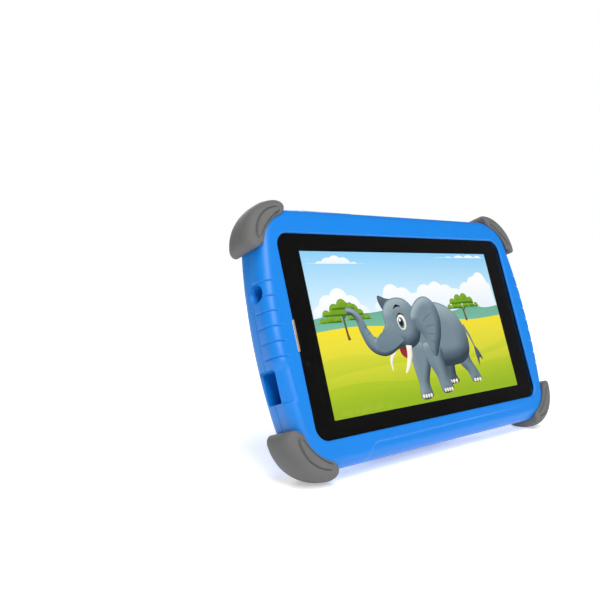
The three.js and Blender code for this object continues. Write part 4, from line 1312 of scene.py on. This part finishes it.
def elephant(picture):
    far_leg = spline([(8, -14), (22, -14), (21.5, -22), (20.5, -30), (22, -34.6), (12, -34.8),
                      (12.4, -28)], 7, True)
    picture.form(far_leg, 1.6, 4)
    picture.finish("far_leg", DARK_GREY_STOPS)
    toes(picture, 17.2, -34.9, 3, 7.5)
    picture.finish("far_toes", IVORY_STOPS)

    tail = limb([(37, -2), (40.5, -8), (42.5, -13), (44, -17)], (1.1, 0.8, 0.6, 0.5))
    picture.form(tail, 1.2, 1.0)
    hind = spline([(22, -4), (36, -2), (38.5, -12), (36.5, -21), (40.5, -29), (42.8, -35.4),
                   (34.6, -36.2), (31.6, -30), (25, -22)], 8, True)
    picture.form(hind, 1.6, 5)
    body = spline([(-10, 4), (-4, 9.5), (6, 12.8), (18, 12.6), (28, 8.6), (35.5, 1), (38.8, -9),
                   (37.5, -18), (31, -23.5), (20, -25), (6, -24.4), (-6, -21), (-13, -14)], 9, True)
    picture.form(body, 1.6, 11, (-0.35, 0.94), 0.62)
    near = spline([(-13, -8), (2, -12), (1, -22), (-3.5, -32), (-3.2, -40.2), (-12.4, -40.4),
                   (-12.2, -32), (-13.5, -22)], 7, True)
    picture.form(near, 1.6, 4.5)
    fore = spline([(-2, -10), (12, -12), (12.5, -22), (13.4, -30), (15.4, -38.2), (6.2, -39.2),
                   (3.6, -30), (-0.6, -21)], 8, True)
    picture.form(fore, 1.6, 4.5)
    picture.finish("body", GREY_STOPS, 0.03, 400)
    toes(picture, -7.8, -40.4, 4, 8.4)
    toes(picture, 11.0, -39.0, 4, 8.0)
    toes(picture, 38.8, -36.3, 3, 7.4)
    picture.finish("toes", IVORY_STOPS)

    tuft = spline([(43, -15.5), (46, -18), (48.5, -24), (45.6, -22.4), (44, -27), (42.8, -21)], 6, True)
    picture.form(tuft, 1.2, 1.4)
    far_ear = spline([(-26, 9), (-29.6, 13.8), (-29.4, 18), (-24, 16.4), (-19, 15)], 7, True)
    picture.form(far_ear, 1.4, 2.5, beside=True)
    picture.finish("far_ear", DARK_GREY_STOPS)

    far_tusk = limb([(-26, -13), (-29.6, -17.6), (-30, -23)], (1.4, 1.1, 0.35))
    picture.form(far_tusk, 1.0, 1.2)
    picture.finish("far_tusk", IVORY_STOPS)
    jaw = spline([(-21, -9), (-15, -9), (-14.4, -16), (-17.6, -17.4), (-21, -14.6)], 7, True)
    picture.shape(jaw, rising(-18, -8), 1.4)
    picture.finish("mouth", MOUTH_STOPS)

    head = spline([(-28.5, 1), (-28.4, 8.6), (-24, 14.6), (-16, 16.6), (-8.6, 15), (-2.6, 8.6),
                   (-1, -1), (-4.5, -9), (-12, -12.4), (-19, -11.4), (-25, -12.6), (-29.5, -10),
                   (-30.5, -5)], 9, True)
    trunk = limb([(-24, -4.5), (-32, -9.5), (-40, -8), (-44.6, -1), (-46.6, 5.6), (-49.8, 9.4),
                  (-53.4, 10.8)], (7.6, 5.6, 4.2, 3.2, 2.5, 2.1, 2.0))
    picture.form(trunk, 1.2, 3.6, (-0.2, 0.98), 0.55)
    picture.form(head, 1.4, 8, (-0.45, 0.9), 0.6)
    bridge = limb([(-20, -2), (-27, -6.2), (-33.4, -8.4)], (6.6, 5.8, 4.6))
    picture.shape(bridge, lambda xy: 0.60 + 0.012 * (xy[:, 1] + 6), 1.4)
    picture.finish("head", GREY_STOPS, 0.03, 400)
    picture.layer += 1

    for x, y in ((-38.6, -4.4), (-41.6, -1.6), (-43.6, 2.0), (-33.6, -2.6), (-30.2, -1.2)):
        fold = limb([(x - 1.5, y - 1.4), (x, y - 0.6), (x + 1.7, y + 0.4)], (0.08, 0.2, 0.08))
        picture.shape(fold, rising(-20, 20), 1.0, beside=True)
    picture.finish("folds", FOLD_STOPS)
    tusk = limb([(-13.8, -10.6), (-14.6, -16), (-17.4, -21.4), (-20.6, -25.2)], (2.2, 2.0, 1.5, 0.4))
    picture.form(tusk, 1.0, 1.8, (-0.9, 0.4), 0.5)
    picture.finish("tusk", IVORY_STOPS)

    ear = spline([(-7.5, 5), (-4, 11), (2.4, 15.6), (9.6, 16.2), (15.6, 11.4), (17.6, 3),
                  (15.4, -6), (12, -12.4), (7.6, -18.4), (3.6, -15.4), (0.4, -7), (-4.6, -0.4)],
                 9, True)
    picture.form(ear, 1.4, 5.5, (-0.5, 0.86), 0.6)
    picture.finish("ear", EAR_STOPS, 0.03, 400)
    for x0, y0, x1, y1 in ((2, 2, 11, 6.5), (3, -1.5, 12, -0.6), (4, -5.4, 11.4, -6.4),
                           (5, -9.4, 10, -11.6)):
        vein = limb([(x0, y0), ((x0 + x1) / 2, (y0 + y1) / 2 + 0.5), (x1, y1)], (0.1, 0.24, 0.06))
        picture.shape(vein, rising(-40, 30), 1.0, beside=x0 > 2)
    picture.finish("veins", FOLD_STOPS)


def face(picture):
    picture.shape(oval(-15.2, 2.6, 3.3, 4.6, 8), rising(-6, 8), 1.2)
    picture.finish("eye_white", IVORY_STOPS)
    picture.shape(oval(-15.6, 2.2, 2.2, 3.2, 8), rising(-1.4, 5.8), 1.0)
    picture.finish("iris", IRIS_STOPS)
    picture.shape(oval(-15.7, 2.1, 1.3, 1.9, 8), rising(-8, 8), 1.0)
    lid = limb([(-18.6, 5.0), (-16, 7.3), (-12.6, 6.4)], (0.2, 0.55, 0.2))
    picture.shape(lid, rising(-8, 30), 1.0, beside=True)
    brow = limb([(-19.6, 10.2), (-17, 11.9), (-14, 11.5)], (0.2, 0.75, 0.3))
    picture.shape(brow, rising(-8, 30), 1.0, beside=True)
    picture.finish("eye_dark", PUPIL_STOPS)
    picture.shape(oval(-16.4, 3.8, 0.75, 0.9), rising(-8, 4), 1.0)
    picture.finish("eye_spark", IVORY_STOPS)


SKY_STOPS = [(0.0, (232, 246, 252)), (0.35, (202, 234, 251)), (1.0, (143, 208, 247))]
CLOUD_STOPS = [(0.0, (226, 240, 250)), (0.5, (243, 249, 254)), (1.0, (255, 255, 255))]
HILL_STOPS = [(0.0, (126, 196, 168)), (0.5, (118, 186, 160)), (1.0, (96, 168, 146))]
FIELD_STOPS = [(0.0, (150, 184, 36)), (0.3, (176, 200, 42)), (0.6, (214, 216, 58)),
               (0.85, (238, 224, 58)), (1.0, (250, 226, 46))]
GRASS_STOPS = [(0.0, (164, 190, 40)), (1.0, (206, 218, 90))]
BARK_STOPS = [(0.0, (112, 84, 50)), (1.0, (92, 92, 52))]
LEAF_STOPS = [(0.2, (58, 104, 18)), (0.5, (96, 146, 26)), (0.8, (134, 178, 44))]
GREY_STOPS = [(0.1, (52, 66, 78)), (0.35, (84, 102, 115)), (0.62, (116, 136, 147)),
              (0.95, (160, 178, 186))]
EAR_STOPS = [(0.1, (62, 76, 88)), (0.4, (92, 110, 122)), (0.62, (112, 131, 143)),
             (0.95, (164, 180, 188))]
DARK_GREY_STOPS = [(0.1, (38, 50, 60)), (0.5, (66, 82, 94)), (0.9, (98, 116, 128))]
FOLD_STOPS = [(0.0, (76, 93, 105)), (1.0, (90, 108, 120))]
IVORY_STOPS = [(0.1, (205, 190, 164)), (0.5, (240, 232, 214)), (0.9, (255, 252, 244))]
MOUTH_STOPS = [(0.0, (168, 52, 56)), (1.0, (110, 24, 34))]
IRIS_STOPS = [(0.0, (96, 134, 160)), (1.0, (38, 62, 84))]
PUPIL_STOPS = [(0.0, (8, 12, 18)), (1.0, (28, 36, 44))]

display = Picture()
scenery(display)
field(display)
tree(display, "tree_left", -56.5, -4.7, 14, [
    (-76, -57, 4.8, [(-71, 5.0, 2.4), (-66, 6.4, 2.8), (-61, 6.0, 2.6)]),
    (-56, -35, 5.6, [(-51, 6.6, 2.8), (-45.5, 7.4, 3.0), (-40, 6.2, 2.4)]),
    (-72, -41, 8.2, [(-68, 8.8, 2.8), (-62, 11.2, 3.6), (-55.5, 12.0, 4.2), (-49, 10.8, 3.6),
                     (-44.5, 9.0, 2.4)]),
    (-66, -46, 11.6, [(-62, 12.2, 2.6), (-56.5, 13.6, 3.6), (-51, 12.4, 2.8)]),
])
tree(display, "tree_right", 42, 0.6, 14, [
    (25, 43, 8.2, [(29.5, 8.8, 2.2), (34.5, 10.2, 2.8), (39, 9.6, 2.4)]),
    (40, 59, 8.8, [(44.5, 9.8, 2.6), (50, 10.4, 2.8), (55, 9.4, 2.2)]),
    (29, 55, 11.2, [(33, 12.0, 2.6), (38.5, 13.6, 3.4), (44.5, 14.0, 3.6), (50, 12.4, 2.8)]),
])
elephant(display)
face(display)

# ---------------- stage and camera
CAMERA_BACK = Vector((-290.9, -246.2, 32.8)) * MM  # from the middle of the screen
FOCAL, SENSOR, SHIFT_Y = 40.3, 36.0, 28 / 600
AZIMUTH, PITCH = math.radians(39.46), math.radians(5.27)


def aimed(name, data, location, ahead):
    """Places a camera or a light, looking along a direction."""
    obj = linked(name, data)
    obj.location = location
    obj.rotation_mode = "QUATERNION"
    obj.rotation_quaternion = Vector(ahead).to_track_quat("-Z", "Y")
    return obj


def add_camera():
    data = bpy.data.cameras.new("camera")
    data.lens, data.sensor_width, data.shift_y = FOCAL, SENSOR, SHIFT_Y
    data.clip_start, data.clip_end = 0.01, 50
    level = math.cos(PITCH)
    ahead = (math.sin(AZIMUTH) * level, math.cos(AZIMUTH) * level, -math.sin(PITCH))
    bpy.context.scene.camera = aimed("camera", data, TABLET.translation + CAMERA_BACK, ahead)


def area_light(name, location, target, size, power):
    data = bpy.data.lights.new(name, "AREA")
    data.shape, data.size, data.size_y = "RECTANGLE", size[0], size[1]
    data.energy = power
    aimed(name, data, location, Vector(target) - Vector(location))


def world_light(tree, colour, strength):
    node = tree.nodes.new("ShaderNodeBackground")
    node.inputs["Color"].default_value = (*colour, 1)
    node.inputs["Strength"].default_value = strength
    return node.outputs["Background"]


def add_stage():
    shell = Shell()
    shell.cap(at_height(arc(0, 0, 9000, 0, 360, 96)[:-1], 0))
    floor = shell.build("floor", Matrix.Identity(4))
    m = Nodes("pale_floor")
    m.drive("Base Color", m.ramp(m.noise(3, 2), [(0.3, (0.86, 0.86, 0.86)), (0.7, (0.9, 0.9, 0.9))]))
    m.set(Roughness=0.7, Specular_IOR_Level=0.0, Emission_Color=(1, 1, 1, 1), Emission_Strength=0.38)
    floor.data.materials.append(m.material)

    world = bpy.data.worlds.new("studio")
    bpy.context.scene.world = world
    world.use_nodes = True
    tree = world.node_tree
    path = tree.nodes.new("ShaderNodeLightPath")
    shader = world_light(tree, (0.95, 0.97, 1.0), 0.24)
    for ray, colour, strength in (("Is Glossy Ray", (1, 1, 1), 0.08), ("Is Camera Ray", (1, 1, 1), 1)):
        mix = tree.nodes.new("ShaderNodeMixShader")
        tree.links.new(path.outputs[ray], mix.inputs["Fac"])
        tree.links.new(shader, mix.inputs[1])
        tree.links.new(world_light(tree, colour, strength), mix.inputs[2])
        shader = mix.outputs["Shader"]
    tree.links.new(shader, tree.nodes["World Output"].inputs["Surface"])

    sun = bpy.data.lights.new("sun", "SUN")
    sun.energy, sun.angle = 1.85, math.radians(35)
    aimed("sun", sun, (0, 0, 0), (0.18, 0.42, -0.9))

    middle = (0, 0, 0.07)
    area_light("key", (-0.35, -1.3, 0.95), middle, (0.8, 0.6), 11.5)
    area_light("back_fill", (0.5, 1.3, 0.8), middle, (1.0, 0.7), 14)


add_camera()
add_stage()
bpy.context.scene.view_settings.view_transform = "Standard"
